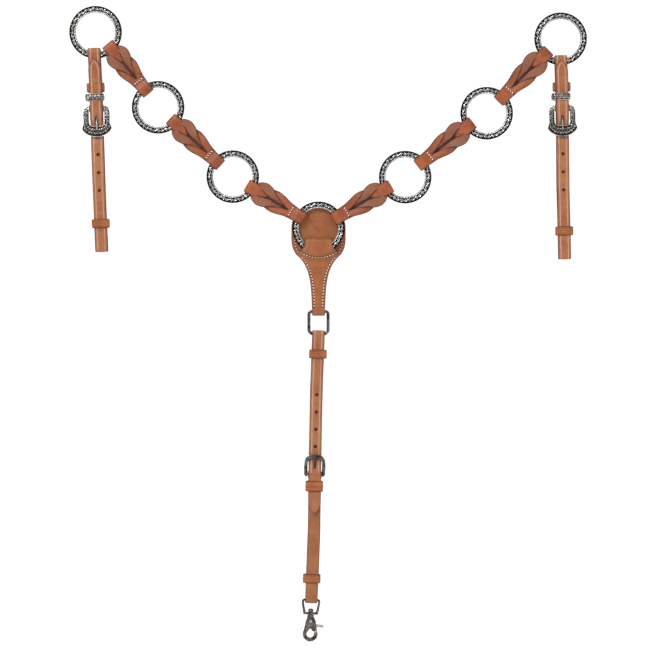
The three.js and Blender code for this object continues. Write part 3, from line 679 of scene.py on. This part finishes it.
def petal(place, points, widths, rolls, count, section, flesh):
    """A strip along (x, y, z) points. Each roll turns it about its own line, in degrees."""
    line = spline(points, count)
    share = np.linspace(0, 1, count)
    knots = np.linspace(0, 1, len(widths))
    half = np.interp(share, knots, widths)
    roll = np.radians(np.interp(share, knots, rolls))
    flow = tangents(line)
    flat = unit(np.cross(flow, [0, -1, 0]))
    front = unit(np.cross(flat, flow))
    across = flat * np.cos(roll)[:, None] + front * np.sin(roll)[:, None]
    normal = front * np.cos(roll)[:, None] - flat * np.sin(roll)[:, None]
    return sweep(place.point(line), place.way(across), place.way(normal), half, section,
                 flesh=flesh)


def knot_shells(place, length, lean):
    """The knot in a frame whose z runs down from the upper fold. lean moves the tip sideways."""
    stretch = length / KNOT_LENGTH
    soft = leather_section(CONNECTOR_PLY, crown=0.8 * MM, depth=0.1 * MM, crease=1.6 * MM,
                           columns=5)
    outline = leather_section(CONNECTOR_PLY, crease=1.8 * MM, depth=0.12 * MM, columns=5)
    fold = LOOP_CENTRE + CONNECTOR_PLY / 2
    shells = []

    def loop(line, half, shift=0.0):
        flow = tangents(line)
        normals = xyz(0, -flow[:, 1], flow[:, 0])
        points = xyz(shift, *line.T)
        shells.append(sweep(place.point(points), place.way([1, 0, 0]), place.way(normals), half,
                            outline))

    # Upper loop: up the back, over the fold, and down the front to a tip that the knot covers.
    line = rounded([
        (1.4 * MM, 46 * MM), (2.2 * MM, 30 * MM, 12 * MM), (LOOP_CENTRE, 19 * MM, 12 * MM),
        (LOOP_CENTRE, CONNECTOR_PLY / 2, LOOP_CENTRE - 0.01 * MM),
        (-LOOP_CENTRE, CONNECTOR_PLY / 2, LOOP_CENTRE - 0.01 * MM),
        (-LOOP_CENTRE - 0.2 * MM, 13 * MM, 10 * MM), (-3.2 * MM, 24 * MM, 10 * MM),
        (-0.4 * MM, 35 * MM),
    ], spacing=1.3 * MM)
    front = (line[:, 0] < 0) & (line[:, 1] > fold)
    tip = np.interp(line[:, 1] / MM, [0, 14, 18, 22, 27, 31, 35],
                    [10, 10.0, 9.8, 9.0, 7.2, 4.4, 1.4]) * MM
    rear = np.interp(line[:, 1] / MM, [0, 17, 30, 46], [10, 10.6, 13, 13]) * MM
    shift = np.where(front, np.interp(line[:, 1] / MM, [10, 36], [0, lean]), 0) * MM
    loop(line, np.where(front, tip, rear), shift)

    # Lower loop: from the seam down the front, round the fold and up the back.
    seam = length - SEAM_FROM_FOLD
    bend = length - CONNECTOR_PLY / 2
    line = rounded([
        (-LOOP_CENTRE + 1.0 * MM, seam - 3.5 * MM),
        (-LOOP_CENTRE + 0.8 * MM, seam + 4 * MM, 6 * MM),
        (-LOOP_CENTRE - 1.4 * MM, length - 12 * MM, 6 * MM),
        (-LOOP_CENTRE, bend, LOOP_CENTRE - 0.01 * MM), (LOOP_CENTRE, bend, LOOP_CENTRE - 0.01 * MM),
        (LOOP_CENTRE, length - 18 * MM, 14 * MM), (3.4 * MM, seam - 3 * MM),
    ], spacing=1.3 * MM)
    up = (length - line[:, 1]) / MM
    loop(line, np.interp(up, [0, 12, 22, 27], [9.9, 10.0, 10.7, 11.3]) * MM)

    # A strip deep inside the knot, painted in shade by a relief value of 0.
    heights = np.linspace(26 * MM, seam + 2 * MM, 16)
    points = xyz(0, 0.6 * MM, heights)
    half = np.interp(np.linspace(0, 1, 16), [0, 0.25, 0.7, 1], [5, 9, 9, 7]) * MM
    shaded_core = sweep(place.point(points), place.way([1, 0, 0]), place.way([0, -1, 0]), half, outline)
    shaded_core.values["relief"] = np.zeros(len(shaded_core.vertices))
    shells.append(shaded_core)

    def at(x, y, z):
        return (x * MM, y * MM, z * MM * stretch)

    for side in (-1, 1):
        for face in (1, -1):
            grow = 1.0 if face > 0 else 0.94
            x_axis, y_axis, z_axis = place.axes
            place_face = Place(place.origin, x_axis, z_axis, y_axis * face)
            turn = -side
            over = 0.5 * lean * side * face
            flesh_points = [at(side * x * grow, y + over * 0.4, z) for x, y, z in (
                (4.6, -3.0, 14), (9.4, -4.1, 19.5), (11.6, -4.9, 27), (9.4, -5.1, 36),
                (5.9, -4.6, 45), (4.5, -3.1, 53), (3.2, -1.4, 60), (2.2, 0.2, 66))]
            shells.append(petal(
                place_face, flesh_points, np.array([3.6, 5.8, 6.9, 7.4, 6.2, 4.2, 2.7, 1.6]) * MM,
                np.array([0, 8, 6, -6, -22, -36, -46, -50]) * turn, 48, soft, flesh=True))
            grain_points = [at(side * x * grow, y - over * 0.3, z) for x, y, z in (
                (6.5, 0.4, 32), (10.6, -1.8, 40), (11.6, -3.4, 49), (10.1, -4.4, 58),
                (7.9, -4.9, 66), (6.0, -5.0, 74), (5.2, -4.7, 86))]
            shells.append(petal(
                place_face, grain_points, np.array([2.4, 4.6, 5.2, 5.6, 5.7, 5.6, 5.2]) * MM,
                np.array([24, 20, 10, -8, -14, -8, 0]) * turn, 48, soft, flesh=False))
    return shells, seam


CONNECTOR_LEANS = {"left": (0.8, -1.0, 0.6), "right": (-0.8, 0.9, -0.5)}
CONNECTOR_SHIFTS = {
    "left_connector_1": -0.2, "left_connector_2": 0.0, "left_connector_3": 2.3,
    "right_connector_1": -0.5, "right_connector_2": 2.0, "right_connector_3": 0.3,
}


def make_connector(side, k, lean):
    cad_node = f"{side}_connector_{k}"
    lower = centre_of("centre_ring" if k == 1 else f"{side}_ring_{k - 1}")
    upper = centre_of(f"{side}_ring_{k}")
    down = unit(lower - upper)
    across = unit(np.cross(down, Y_AXIS))
    place = Place(upper + down * FOLD_FROM_RING, across, down)
    length = np.linalg.norm(lower - upper) - 2 * FOLD_FROM_RING
    outward = across * np.sign(across[2])
    place.origin = place.origin + outward * CONNECTOR_SHIFTS[cad_node] * MM
    shells, seam = knot_shells(place, length, lean)
    for face in (-1, 1):
        y = face * (LOOP_CENTRE + CONNECTOR_PLY / 2 - (0.05 if face < 0 else 1.2) * MM)
        row = place.point([(x * MM, y, seam) for x in np.linspace(-8.2, 8.2, 9)])
        shells += stitches(row, Y_AXIS * face, pitch=4.05 * MM, length=2.6 * MM,
                           radius=0.72 * MM, slant=0.6 * MM)
    show(cad_node, "knot", shells, [RUSSET, THREAD, HOLE_SHADE])


# ---------- buckled straps ----------

STRAP_PLY = 2.8 * MM
LAYER = 4.25 * MM
BAR_Y = -2.65 * MM
BAR_FOLD = 3.6 * MM
BILLET_Y = -9.95 * MM
FRAME_TILT = math.radians(6)
TONGUE_BACK = 1.9 * MM
HOLE_RADIUS = 2.3 * MM
TONGUE_SLOT_RADIUS = 1.85 * MM
CHAPE_SLOT_RADIUS = 1.75 * MM
CHAPE_SLOT = (-6.2, 7.4)
KEEPER_INNER = 6.15 * MM
KEEPER_HALF = 13.5 * MM
KEEPER_WALL = 2.0 * MM
THREE_PLY_FRONT = 11.85 * MM

# rail, holes, bend and slot are in mm above the buckle's bar; wander is (heights, sideways) in mm.
TUG = {"length": 307 * MM, "rail": (24.3, 43.5), "holes": (14.7, 27), "bend": 14.5,
       "slot": (13.0, 21.8), "chape": 1.6, "wander": ((0, 60, 200, 307), (0.4, -0.4, 0.5, 0))}
STRAPS = {
    "left_tug": {**TUG, "bar": 92 * MM, "reach": 74 * MM},
    "right_tug": {**TUG, "bar": 80 * MM, "reach": 70.5 * MM},
    "girth": {"length": 411 * MM, "bar": 194.5 * MM, "reach": 58 * MM, "rail": (21.4, 31.0),
              "holes": (15.5, 26), "bend": 11.5, "slot": (11.0, 19.0), "chape": 1.0,
              "wander": ((0, 45, 110, 170, 210, 320, 411), (0.2, 0.9, 1.5, 0.7, 0, -0.8, 0))},
}


def strap_place(prefix, bar):
    tilt = JOINTS[f"{prefix}_buckle_tilt"]
    keeper = "snap_keeper" if prefix == "girth" else "lower_keeper"
    slide = JOINTS[f"{prefix}_{keeper}_slide"]
    x_axis, z_axis = np.array(tilt["axis"]), np.array(slide["axis"])
    return Place(np.array(tilt["pos_m"]) - Y_AXIS * BAR_Y - z_axis * bar, x_axis, z_axis)


def strap_line(length, bar, reach, rail, bend):
    half = 1.5 * MM
    rail_from, rail_to = rail[0] * MM, rail[1] * MM
    rail_y = BAR_Y - math.tan(FRAME_TILT) * rail_from + 3.4 * MM
    return rounded([
        (BAR_Y + BAR_FOLD, bar - 42 * MM), (BAR_Y + BAR_FOLD, bar + BAR_FOLD, BAR_FOLD - 0.01 * MM),
        (BAR_Y - BAR_FOLD, bar + BAR_FOLD, BAR_FOLD - 0.01 * MM),
        (BAR_Y - BAR_FOLD, bar - 6 * MM, 6 * MM), (-LAYER, bar - 13 * MM, 6 * MM),
        (-LAYER, half, LAYER - 0.01 * MM), (LAYER, half, LAYER - 0.01 * MM),
        (LAYER, length - half, LAYER - 1 * MM), (-LAYER, length - half, LAYER - 1 * MM),
        (-LAYER, bar + rail_to + 9 * MM, 8 * MM), (rail_y, bar + rail_to, 8 * MM),
        (rail_y, bar + rail_from, 5 * MM), (BILLET_Y, bar + bend * MM, 5 * MM),
        (BILLET_Y, bar - reach),
    ], spacing=2.5 * MM)


def cut(piece, cutter):
    """Takes the cutter out of the piece, and removes the cutter."""
    modifier = piece.modifiers.new("cut", "BOOLEAN")
    modifier.object = cutter
    modifier.solver = "FAST"
    graph = bpy.context.evaluated_depsgraph_get()
    piece.data = bpy.data.meshes.new_from_object(piece.evaluated_get(graph), depsgraph=graph)
    piece.modifiers.clear()
    bpy.data.objects.remove(cutter)


def make_strap(prefix):
    sizes = STRAPS[prefix]
    bar, length, reach = sizes["bar"], sizes["length"], sizes["reach"]
    place = strap_place(prefix, bar)
    line = strap_line(length, bar, reach, sizes["rail"], sizes["bend"])
    points, normals = upright(place, line)
    run = travelled(line)
    to_tip = (run[-1] - run) / MM
    half = np.interp(to_tip, [0, 1, 4, 8, 12, 16], [1.6, 2.9, 5.6, 7.9, 9.1, 9.5]) * MM
    half = half + 0.12 * MM * np.sin(run / MM / 23)
    chape = np.hypot(line[:, 0] - BAR_Y, line[:, 1] - bar) / MM
    half = half + np.where(run < 60 * MM, np.interp(chape, [5, 7.5], [sizes["chape"], 0]), 0) * MM
    wander = np.interp(line[:, 1] / MM, *sizes["wander"]) * MM
    points = points + np.outer(wander, place.axes[0])
    shells = [sweep(points, place.axes[0], normals, half, leather_section(STRAP_PLY),
                    end_round=0.9 * MM)]
    if prefix == "girth":
        # The relief value darkens the girth's leather towards the bottom, and below the bar the
        # painted highlight band and crease shade are left out.
        vertices, values = shells[0].vertices, shells[0].values
        rise = (place.origin[2] + 20 * MM, place.origin[2] + 180 * MM)
        values["relief"] = np.interp(vertices[:, 2], rise, (0.86, 0.96))
        plain = ((vertices - place.origin) @ place.axes[2] < bar) & (values["inset"] > 2.4)
        values["inset"] = np.where(plain, FAR_FROM_EDGE, values["inset"])
    strap = make(f"{prefix}_strap_leather", shells, [TAN, THREAD, HOLE_SHADE])
    first, pitch = sizes["holes"]
    up = place.axes[2] * MM

    def bore(front, back, heights, radius):
        ends = place.point([(0, front, bar), (0, back, bar)])
        cut(strap, slot_cutter(ends, [up * z for z in heights], radius))

    for k in range(1, 5):
        bore(-LAYER - 4 * MM, -0.3 * MM, [first + k * pitch], HOLE_RADIUS)
    bore(BILLET_Y - 3 * MM, LAYER - STRAP_PLY / 2 - 0.5 * MM, sizes["slot"], TONGUE_SLOT_RADIUS)
    bore(BAR_Y - BAR_FOLD - 3 * MM, BAR_Y + BAR_FOLD + 1.7 * MM, CHAPE_SLOT, CHAPE_SLOT_RADIUS)
    stands_for(strap, f"{prefix}_strap")
    return place


def slot_cutter(ends, shifts, radius, sides=16):
    """A round or long hole's cutter: the hull of equal rods that stand side by side."""
    along = unit(ends[1] - ends[0])
    side = unit(np.cross(along, Z_AXIS))
    other = np.cross(along, side)
    angles = round_turn(sides, 0.37)
    ring = (np.cos(angles)[:, None] * side + np.sin(angles)[:, None] * other) * radius
    work = bmesh.new()
    for shift in shifts:
        for point in np.concatenate([ends[0] + ring, ends[1] + ring]) + shift:
            work.verts.new(point)
    bmesh.ops.convex_hull(work, input=work.verts)
    bmesh.ops.delete(work, geom=[v for v in work.verts if not v.link_faces], context="VERTS")
    bmesh.ops.recalc_face_normals(work, faces=work.faces)
    mesh = bpy.data.meshes.new("cutter")
    work.to_mesh(mesh)
    work.free()
    return add_object("cutter", mesh)


def make_keeper(prefix, name, place, section, material, relief=None, front=KEEPER_INNER,
                wall=KEEPER_WALL, height=13 * MM, corner=3.2 * MM):
    """A loop round the strap: a band on edge, carried round a rounded rectangle."""
    cad_node = f"{prefix}_{name}"
    centre = centre_of(cad_node)
    z = (centre - place.origin) @ place.axes[2]
    x = (centre - place.origin) @ place.axes[0]
    half_x = KEEPER_HALF - wall / 2
    y_front, y_back = -front - wall / 2, KEEPER_INNER + wall / 2
    line = rounded([(-half_x, y_back, corner), (half_x, y_back, corner), (half_x, y_front, corner),
                    (-half_x, y_front, corner)], closed=True,
                   spacing=0.6 * MM if relief else 2 * MM)
    flow = tangents(line, closed=True)
    points = place.point(xyz(x + line[:, 0], line[:, 1], z))
    normals = place.way(xyz(flow[:, 1], -flow[:, 0], 0))
    outward = points - points.mean(axis=0)
    if (outward * normals).sum() < 0:
        normals = -normals
    shell = sweep(points, place.axes[2], normals, height / 2, section, closed=True, relief=relief)
    show(cad_node, "loop", [shell], [material])


def frame_sweep(place, outer, inner, section, relief):
    """A buckle frame: an open U between an outer and an inner (x, z) line."""
    middle = (outer + inner) / 2
    half = np.linalg.norm(outer - inner, axis=1) / 2
    across = unit(outer - inner)
    lift = lambda p: xyz(p[:, 0], 0, p[:, 1])
    return sweep(place.point(lift(middle)), place.way(lift(across)), place.way([0, -1, 0]), half,
                 section, relief=relief)


def mirrored_line(right, count):
    """The right half of an outline, in mm from the bar to the far rail, mirrored into a U."""
    half = spline(np.array(right) * MM, count)
    left = half * [-1, 1]
    return np.concatenate([left, half[-2::-1]])


def make_buckle(prefix, place):
    """The frame with its bar, and the tongue, in the frame's own tilted plane."""
    cos, sin = math.cos(FRAME_TILT), math.sin(FRAME_TILT)
    x_axis, y_axis, z_axis = place.axes
    plane = Place(JOINTS[f"{prefix}_buckle_tilt"]["pos_m"], x_axis, z_axis * cos - y_axis * sin,
                  y_axis * cos + z_axis * sin)
    tug = prefix != "girth"
    if tug:
        outer = mirrored_line([(15.0, -3.8), (17.6, -1.5), (19.6, 4), (20.0, 11), (19.6, 18),
                               (20.3, 24.5), (22.2, 30.2), (18.8, 35.4), (12.8, 39.8),
                               (6, 42.2), (0, 43.0)], 70)
        inner = mirrored_line([(12.0, -3.2), (11.7, 0), (11.6, 6), (11.6, 14), (11.4, 20),
                               (10.0, 24.6), (6, 26.2), (0, 26.3)], 70)
        section, finish = metal_section(2.2 * MM, 1.0 * MM, 31), SILVER
        relief = scrolls(8.0 * MM, 0.4 * MM, 0.8 * MM)
    else:
        outer = mirrored_line([(13.6, -3.4), (15.4, -1.5), (15.9, 4), (15.8, 16), (14.6, 22.5),
                               (11, 27.3), (5.5, 29), (0, 29.2)], 60)
        inner = mirrored_line([(11.2, -2.6), (10.9, 0), (10.9, 8), (10.9, 14), (10.0, 19.5),
                               (7.6, 22.4), (4, 23.4), (0, 23.5)], 60)
        section, finish = metal_section(1.7 * MM, 0.85 * MM, 15, 0.75 * MM), BLACK_STEEL
        relief = None
    shells = [frame_sweep(plane, outer, inner, section, relief)]
    window = inner[0][0]
    end = abs(window) + 1 * MM
    rod_line = plane.point([(x, 0, 0) for x in np.linspace(-end, end, 12)])
    shells.append(sweep(rod_line, plane.axes[1], plane.axes[2], 1.8 * MM,
                        round_section(1.75 * MM, 1.75 * MM)))
    show(f"{prefix}_buckle_frame", "metal", shells, [finish])

    reach = (32.2 if tug else 29.3) * MM
    y = -TONGUE_BACK - 0.95 * MM
    shaft = spline(np.array([(0, y, 0), (0, y, 8 * MM), (0, y, reach * 0.6),
                             (0, y + 0.1 * MM, reach - 2 * MM), (0, y + 0.35 * MM, reach)]), 24)
    widths = np.interp(np.linspace(0, 1, 24), [0, 0.7, 0.92, 1], [1.0, 1.0, 0.85, 0.6])
    parts = [sweep(plane.point(shaft), plane.axes[0], -plane.axes[1], widths * 1.25 * MM,
                   lambda half: round_section(half, 0.92 * MM)(half), end_round=0.5 * MM)]
    angles = round_turn(28)
    radial = plane.way(xyz(0, np.cos(angles), np.sin(angles)))
    parts.append(sweep(plane.origin + radial * 2.95 * MM, plane.axes[0], radial, 1.25 * MM,
                       round_section(1.25 * MM, 0.8 * MM), closed=True))
    show(f"{prefix}_buckle_tongue", "metal", parts, [BRIGHT if tug else BLACK_STEEL])


def make_buckled_straps():
    leather_band = leather_section(1.9 * MM, crease=2.6 * MM, depth=0.3 * MM, crown=0.35 * MM)
    metal_band = metal_section(1.0 * MM, 0.95 * MM, 25, 0.45 * MM)
    for prefix in STRAPS:
        place = make_strap(prefix)
        make_buckle(prefix, place)
        girth = prefix == "girth"
        for name in ("link", "snap") if girth else ("upper", "lower"):
            make_keeper(prefix, f"{name}_keeper", place, leather_band, KEEPER)
        if girth:
            make_keeper(prefix, "billet_keeper", place, leather_band, KEEPER,
                        front=THREE_PLY_FRONT, height=15.5 * MM, corner=4.5 * MM)
        else:
            make_keeper(prefix, "metal_keeper", place, metal_band, SILVER,
                        relief=scrolls(7.0 * MM, 0.3 * MM, 0.7 * MM), front=THREE_PLY_FRONT,
                        wall=1.5 * MM, height=10 * MM, corner=3.4 * MM)


# ---------- yoke ----------

YOKE_PLY = 2.4 * MM
PANEL_Y = 8.45 * MM
OVERLAY_Y = 5.65 * MM
BAND_Y = 4.0 * MM
SMILE_MIDDLE = -44.8 * MM
SMILE_RISE = 8.3 * MM
SMILE_HALF = 28.5 * MM
NECK_HALF = 9.6 * MM
NECK_END = -124.6 * MM
LINK_WIRE_RADIUS = 2.1 * MM


def panel_half(z):
    crown = 40.7 * MM * np.sqrt(np.clip(1 - (np.maximum(z, 0) / (38.5 * MM)) ** 2, 0, 1))
    lower = np.interp(-z / MM, [0, 18, 24, 30, 35, 40], [40.7, 40.7, 40.2, 38.9, 36.8, 33.8]) * MM
    flare = NECK_HALF + 24.2 * MM * np.exp((z + 40 * MM) / (20 * MM))
    return np.where(z > 0, crown, np.where(z > -40 * MM, lower, flare))


def overlay_half(z):
    upper = np.interp(-z / MM, [15, 28.8, 40], [19.9, 21.5, 33.5]) * MM
    return np.where(z > -40 * MM, upper, panel_half(z) - 0.3 * MM)


def smile(x):
    return SMILE_MIDDLE + SMILE_RISE * (x / SMILE_HALF) ** 2


def overlay_line():
    neck_fold = LINK_WIRE_RADIUS + 0.8 * MM + 1.25 * MM
    bar = NECK_END - LINK_WIRE_RADIUS
    low = bar - neck_fold
    back = OVERLAY_Y + 2 * neck_fold
    seat = PANEL_Y + 2.8 * MM
    return rounded([
        (BAND_Y, -42 * MM), (BAND_Y, -17.25 * MM, BAND_Y - 0.01 * MM),
        (-BAND_Y, -17.25 * MM, BAND_Y - 0.01 * MM), (-BAND_Y - 0.4 * MM, -34 * MM, 10 * MM),
        (-BAND_Y + 1 * MM, -41.5 * MM, 6 * MM), (OVERLAY_Y, -51 * MM, 8 * MM),
        (OVERLAY_Y, low, neck_fold - 0.01 * MM), (back, low, neck_fold - 0.01 * MM),
        (back, bar + 8 * MM, 4 * MM), (seat, bar + 14 * MM, 4 * MM), (seat, bar + 30 * MM),
    ], spacing=1.6 * MM)


def make_yoke():
    place = Place((0, 0, 0), X_AXIS, Z_AXIS)
    angles = np.radians(np.linspace(86, 0, 26))
    heights = np.concatenate([38.5 * MM * np.sin(angles), np.linspace(0, -119.3 * MM, 70)[1:]])
    panel_points = xyz(0, PANEL_Y, heights)
    yoke_edge = {"crease": 1.5 * MM, "depth": 0.15 * MM, "crown": 0.1 * MM}
    yoke_section = leather_section(YOKE_PLY, columns=10, **yoke_edge)
    shells = [sweep(panel_points, -X_AXIS, -Y_AXIS, panel_half(heights), yoke_section)]
    front = PANEL_Y - YOKE_PLY / 2 - 0.15 * MM
    rear = PANEL_Y + YOKE_PLY / 2 + 0.1 * MM
    for side in (-1, 1):
        zs = np.linspace(-12, -38, 14) * MM
        row = xyz(side * (panel_half(zs) - 5.2 * MM), front, zs)
        shells += stitches(row, -Y_AXIS, radius=0.5 * MM)
        zs = np.linspace(-44, -116, 40) * MM
        row = xyz(side * (panel_half(zs) - 3.6 * MM), rear, zs)
        shells += stitches(row, Y_AXIS, radius=0.5 * MM)
    show("yoke_panel", "leather", shells, [YOKE_TAN, THREAD, HOLE_SHADE])

    line = overlay_line()
    points, normals = upright(place, line)
    behind = (line[:, 0] > OVERLAY_Y + 2 * MM) & (line[:, 1] < -80 * MM)
    half = np.where(behind, NECK_HALF - 0.3 * MM, overlay_half(line[:, 1]))
    half = np.where((line[:, 0] > 0) & (line[:, 1] > -43 * MM), np.minimum(half, 20.5 * MM), half)
    first, last = np.argmax(line[:, 0] < -2 * MM), np.argmax(line[:, 1] < -120 * MM)
    front_line = line[first:last]

    def seat(x, z):
        """Where the front layer's middle lies: its shoulders bend back to the panel."""
        y = np.interp(-z, -front_line[:, 1], front_line[:, 0])
        ear = np.clip((np.abs(x) - 22 * MM) / (7 * MM), 0, 1)
        return y + np.maximum(OVERLAY_Y - y, 0) * ear * ear * (3 - 2 * ear), y

    def surface(x, z):
        return xyz(x, seat(x, z)[0] - YOKE_PLY / 2 - 0.1 * MM, z)

    reach = travelled(line)
    on_front = (line[:, 0] < OVERLAY_Y + 1 * MM) & (reach > 32 * MM)

    def sewn(u, x, half_width, face):
        """The seam pulls the layer down along the smile, and it swells above that over the ring. A
        painted shadow darkens the leather just above the smile.
        """
        z = np.interp(u.ravel() - 0.7 * MM, reach, line[:, 1])[:, None]
        seen = np.interp(u.ravel() - 0.7 * MM, reach, on_front.astype(float))[:, None]
        off = (z - smile(x)) / MM
        pull = np.exp(-(off / 1.5) ** 2)
        swell = np.exp(-((off - 7) / 5.5) ** 2)
        use = seen * (np.abs(x) < SMILE_HALF + 2 * MM)
        stand = (0.9 * swell - 0.7 * pull) * MM * use * np.sign(face)
        # Painted shadow just above the smile seam, returned as a low height.
        shade = 0.8 * np.exp(-(off - 1.3) ** 2) + 0.3 * np.exp(-((off - 3) / 2.5) ** 2)
        return 1 - np.clip(shade * use, 0, 1), stand

    layer = leather_section(YOKE_PLY, columns=16, **yoke_edge)
    shells = [sweep(points, X_AXIS, normals, half, layer, relief=sewn)]
    # sweep puts two stations of its own before the line's first and two after its last.
    stations = shells[0].vertices.reshape(len(line) + 4, -1, 3)[2 + first:2 + last]
    bent, straight = seat(stations[..., 0], stations[..., 2])
    stations[..., 1] += bent - straight
    for side in (-1, 1):
        zs = np.linspace(-43, -121, 60) * MM
        shells += stitches(surface(side * (overlay_half(zs) - 3.6 * MM), zs), -Y_AXIS)
    xs = np.linspace(-SMILE_HALF, SMILE_HALF, 24)
    shells += stitches(surface(xs, smile(xs)), -Y_AXIS)
    show("yoke_overlay", "leather", shells, [YOKE_TAN, THREAD, HOLE_SHADE])


# ---------- link and snap ----------

def make_link():
    low, high = (np.array(corner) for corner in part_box("yoke_link"))
    radius = (high[1] - low[1]) / 2
    y = (low[1] + high[1]) / 2
    x = high[0] - radius
    top, bottom = high[2] - radius, low[2] + radius
    chamfer = 4.5 * MM
    line = rounded([(x, top, 4 * MM), (-x, top, 4 * MM), (-x, bottom + chamfer, 3 * MM),
                    (-x + chamfer, bottom, 3 * MM), (x - chamfer, bottom, 3 * MM),
                    (x, bottom + chamfer, 3 * MM)], closed=True, spacing=1.5 * MM)
    flow = tangents(line, closed=True)
    points = xyz(line[:, 0], y, line[:, 1])
    across = xyz(flow[:, 1], 0, -flow[:, 0])
    section = round_section(radius * 1.12, radius * 0.99)
    shell = sweep(points, across, -Y_AXIS, radius, section, closed=True)
    show("yoke_link", "wire", [shell], [BLACK_STEEL])


def cast(cad_node, voxel, rounds, material, tip=None):
    """A softened copy of a CAD node, as cast metal: remeshed finely, then smoothed."""
    source = frame["nodes"][cad_node]
    piece = add_object(f"{cad_node}_cast", source.data.copy())
    remesh = piece.modifiers.new("remesh", "REMESH")
    remesh.mode = "VOXEL"
    remesh.voxel_size = voxel
    soften = piece.modifiers.new("soften", "SMOOTH")
    soften.factor = 0.5
    soften.iterations = rounds
    graph = bpy.context.evaluated_depsgraph_get()
    mesh = bpy.data.meshes.new_from_object(piece.evaluated_get(graph), depsgraph=graph)
    piece.modifiers.clear()
    piece.data = mesh
    mesh.materials.clear()
    mesh.materials.append(material)
    mesh.polygons.foreach_set("use_smooth", [True] * len(mesh.polygons))
    slots = [0] * len(mesh.polygons)
    if tip:
        mesh.materials.append(tip)
        low, high = (corner[0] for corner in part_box(cad_node))
        edge = low + 0.52 * (high - low)
        slots = [int((piece.matrix_world @ face.center)[0] > edge) for face in mesh.polygons]
    mesh.polygons.foreach_set("material_index", slots)
    stands_for(piece, cad_node)


def make_snap():
    cast("snap_bow", 0.3 * MM, 6, GUNMETAL)
    cast("snap_hook", 0.3 * MM, 6, GUNMETAL)
    cast("snap_trigger", 0.25 * MM, 3, GUNMETAL, BRIGHT)
    for cad_node in ("snap_trigger_rivet", "snap_trigger_spring"):
        frame["nodes"][cad_node].material_slots[0].material = BRIGHT


# ---------- stage ----------

METRES_PER_PIXEL = 1.5 * MM
FRAME_PIXELS = 650
VIEW_DISTANCE = 4.2
VIEW_X = 9.75 * MM
VIEW_Z = -145.8 * MM
LIGHT_AIM = (0, 0, -0.12)
FLOOR_DROP = 30 * MM


def area_light(name, place, size, power):
    light = bpy.data.lights.new(name, "AREA")
    light.shape = "SQUARE"
    light.size = size
    light.energy = power
    obj = add_object(name, light)
    obj.location = place
    way = np.array(LIGHT_AIM) - np.array(place, float)
    obj.rotation_euler = Vector(way).to_track_quat("-Z", "Y").to_euler()


def make_stage():
    camera_data = bpy.data.cameras.new("camera")
    camera_data.lens = camera_data.sensor_width * VIEW_DISTANCE / (FRAME_PIXELS * METRES_PER_PIXEL)
    camera = add_object("camera", camera_data)
    camera.location = (VIEW_X, -VIEW_DISTANCE, VIEW_Z)
    camera.rotation_euler = (math.pi / 2, 0, 0)
    bpy.context.scene.camera = camera

    bpy.ops.mesh.primitive_plane_add(size=60, location=(0, 0, cad_low[2] - FLOOR_DROP))
    floor = bpy.context.object
    floor.name = "floor"
    material, tree, shader = new_material("pale_floor")
    pale = mix(tree, noise(tree, 2, 2), [0.9, 0.9, 0.9, 1], [0.94, 0.94, 0.94, 1])
    feed(tree, shader, Base_Color=pale)
    shader.inputs["Roughness"].default_value = 0.9
    floor.data.materials.append(material)

    world = bpy.data.worlds.new("studio")
    world.use_nodes = True
    tree = world.node_tree
    way = node(tree, "ShaderNodeTexCoord").outputs["Generated"]
    parts = node(tree, "ShaderNodeSeparateXYZ", {"Vector": way})
    back = ranged(tree, parts.outputs["Y"], -0.35, 0.1)
    front = ranged(tree, parts.outputs["Z"], -0.6, 0.9, 0.30, 0.80)
    front = maths(tree, "MULTIPLY", maths(tree, "SUBTRACT", 1.0, back), front)
    glow = maths(tree, "ADD", front, maths(tree, "MULTIPLY", back, 1.08))
    tree.links.new(glow, tree.nodes["Background"].inputs["Strength"])
    tree.nodes["Background"].inputs["Color"].default_value = (1, 1, 1, 1)
    bpy.context.scene.world = world
    bpy.context.scene.view_settings.view_transform = "Standard"
    sun = bpy.data.lights.new("key", "SUN")
    sun.energy = 1.7
    sun.angle = math.radians(16)
    key = add_object("key", sun)
    key.rotation_euler = Vector((0.42, 0.72, -0.62)).to_track_quat("-Z", "Y").to_euler()
    area_light("fill", (2.4, -2.6, 0.2), 1.4, 16)
    area_light("sparkle", (-1.2, -2.8, 1.6), 0.35, 16)


make_rings()
for arm, leans in CONNECTOR_LEANS.items():
    for index, tip_lean in enumerate(leans, 1):
        make_connector(arm, index, tip_lean)
make_buckled_straps()
make_yoke()
make_link()
make_snap()
make_stage()
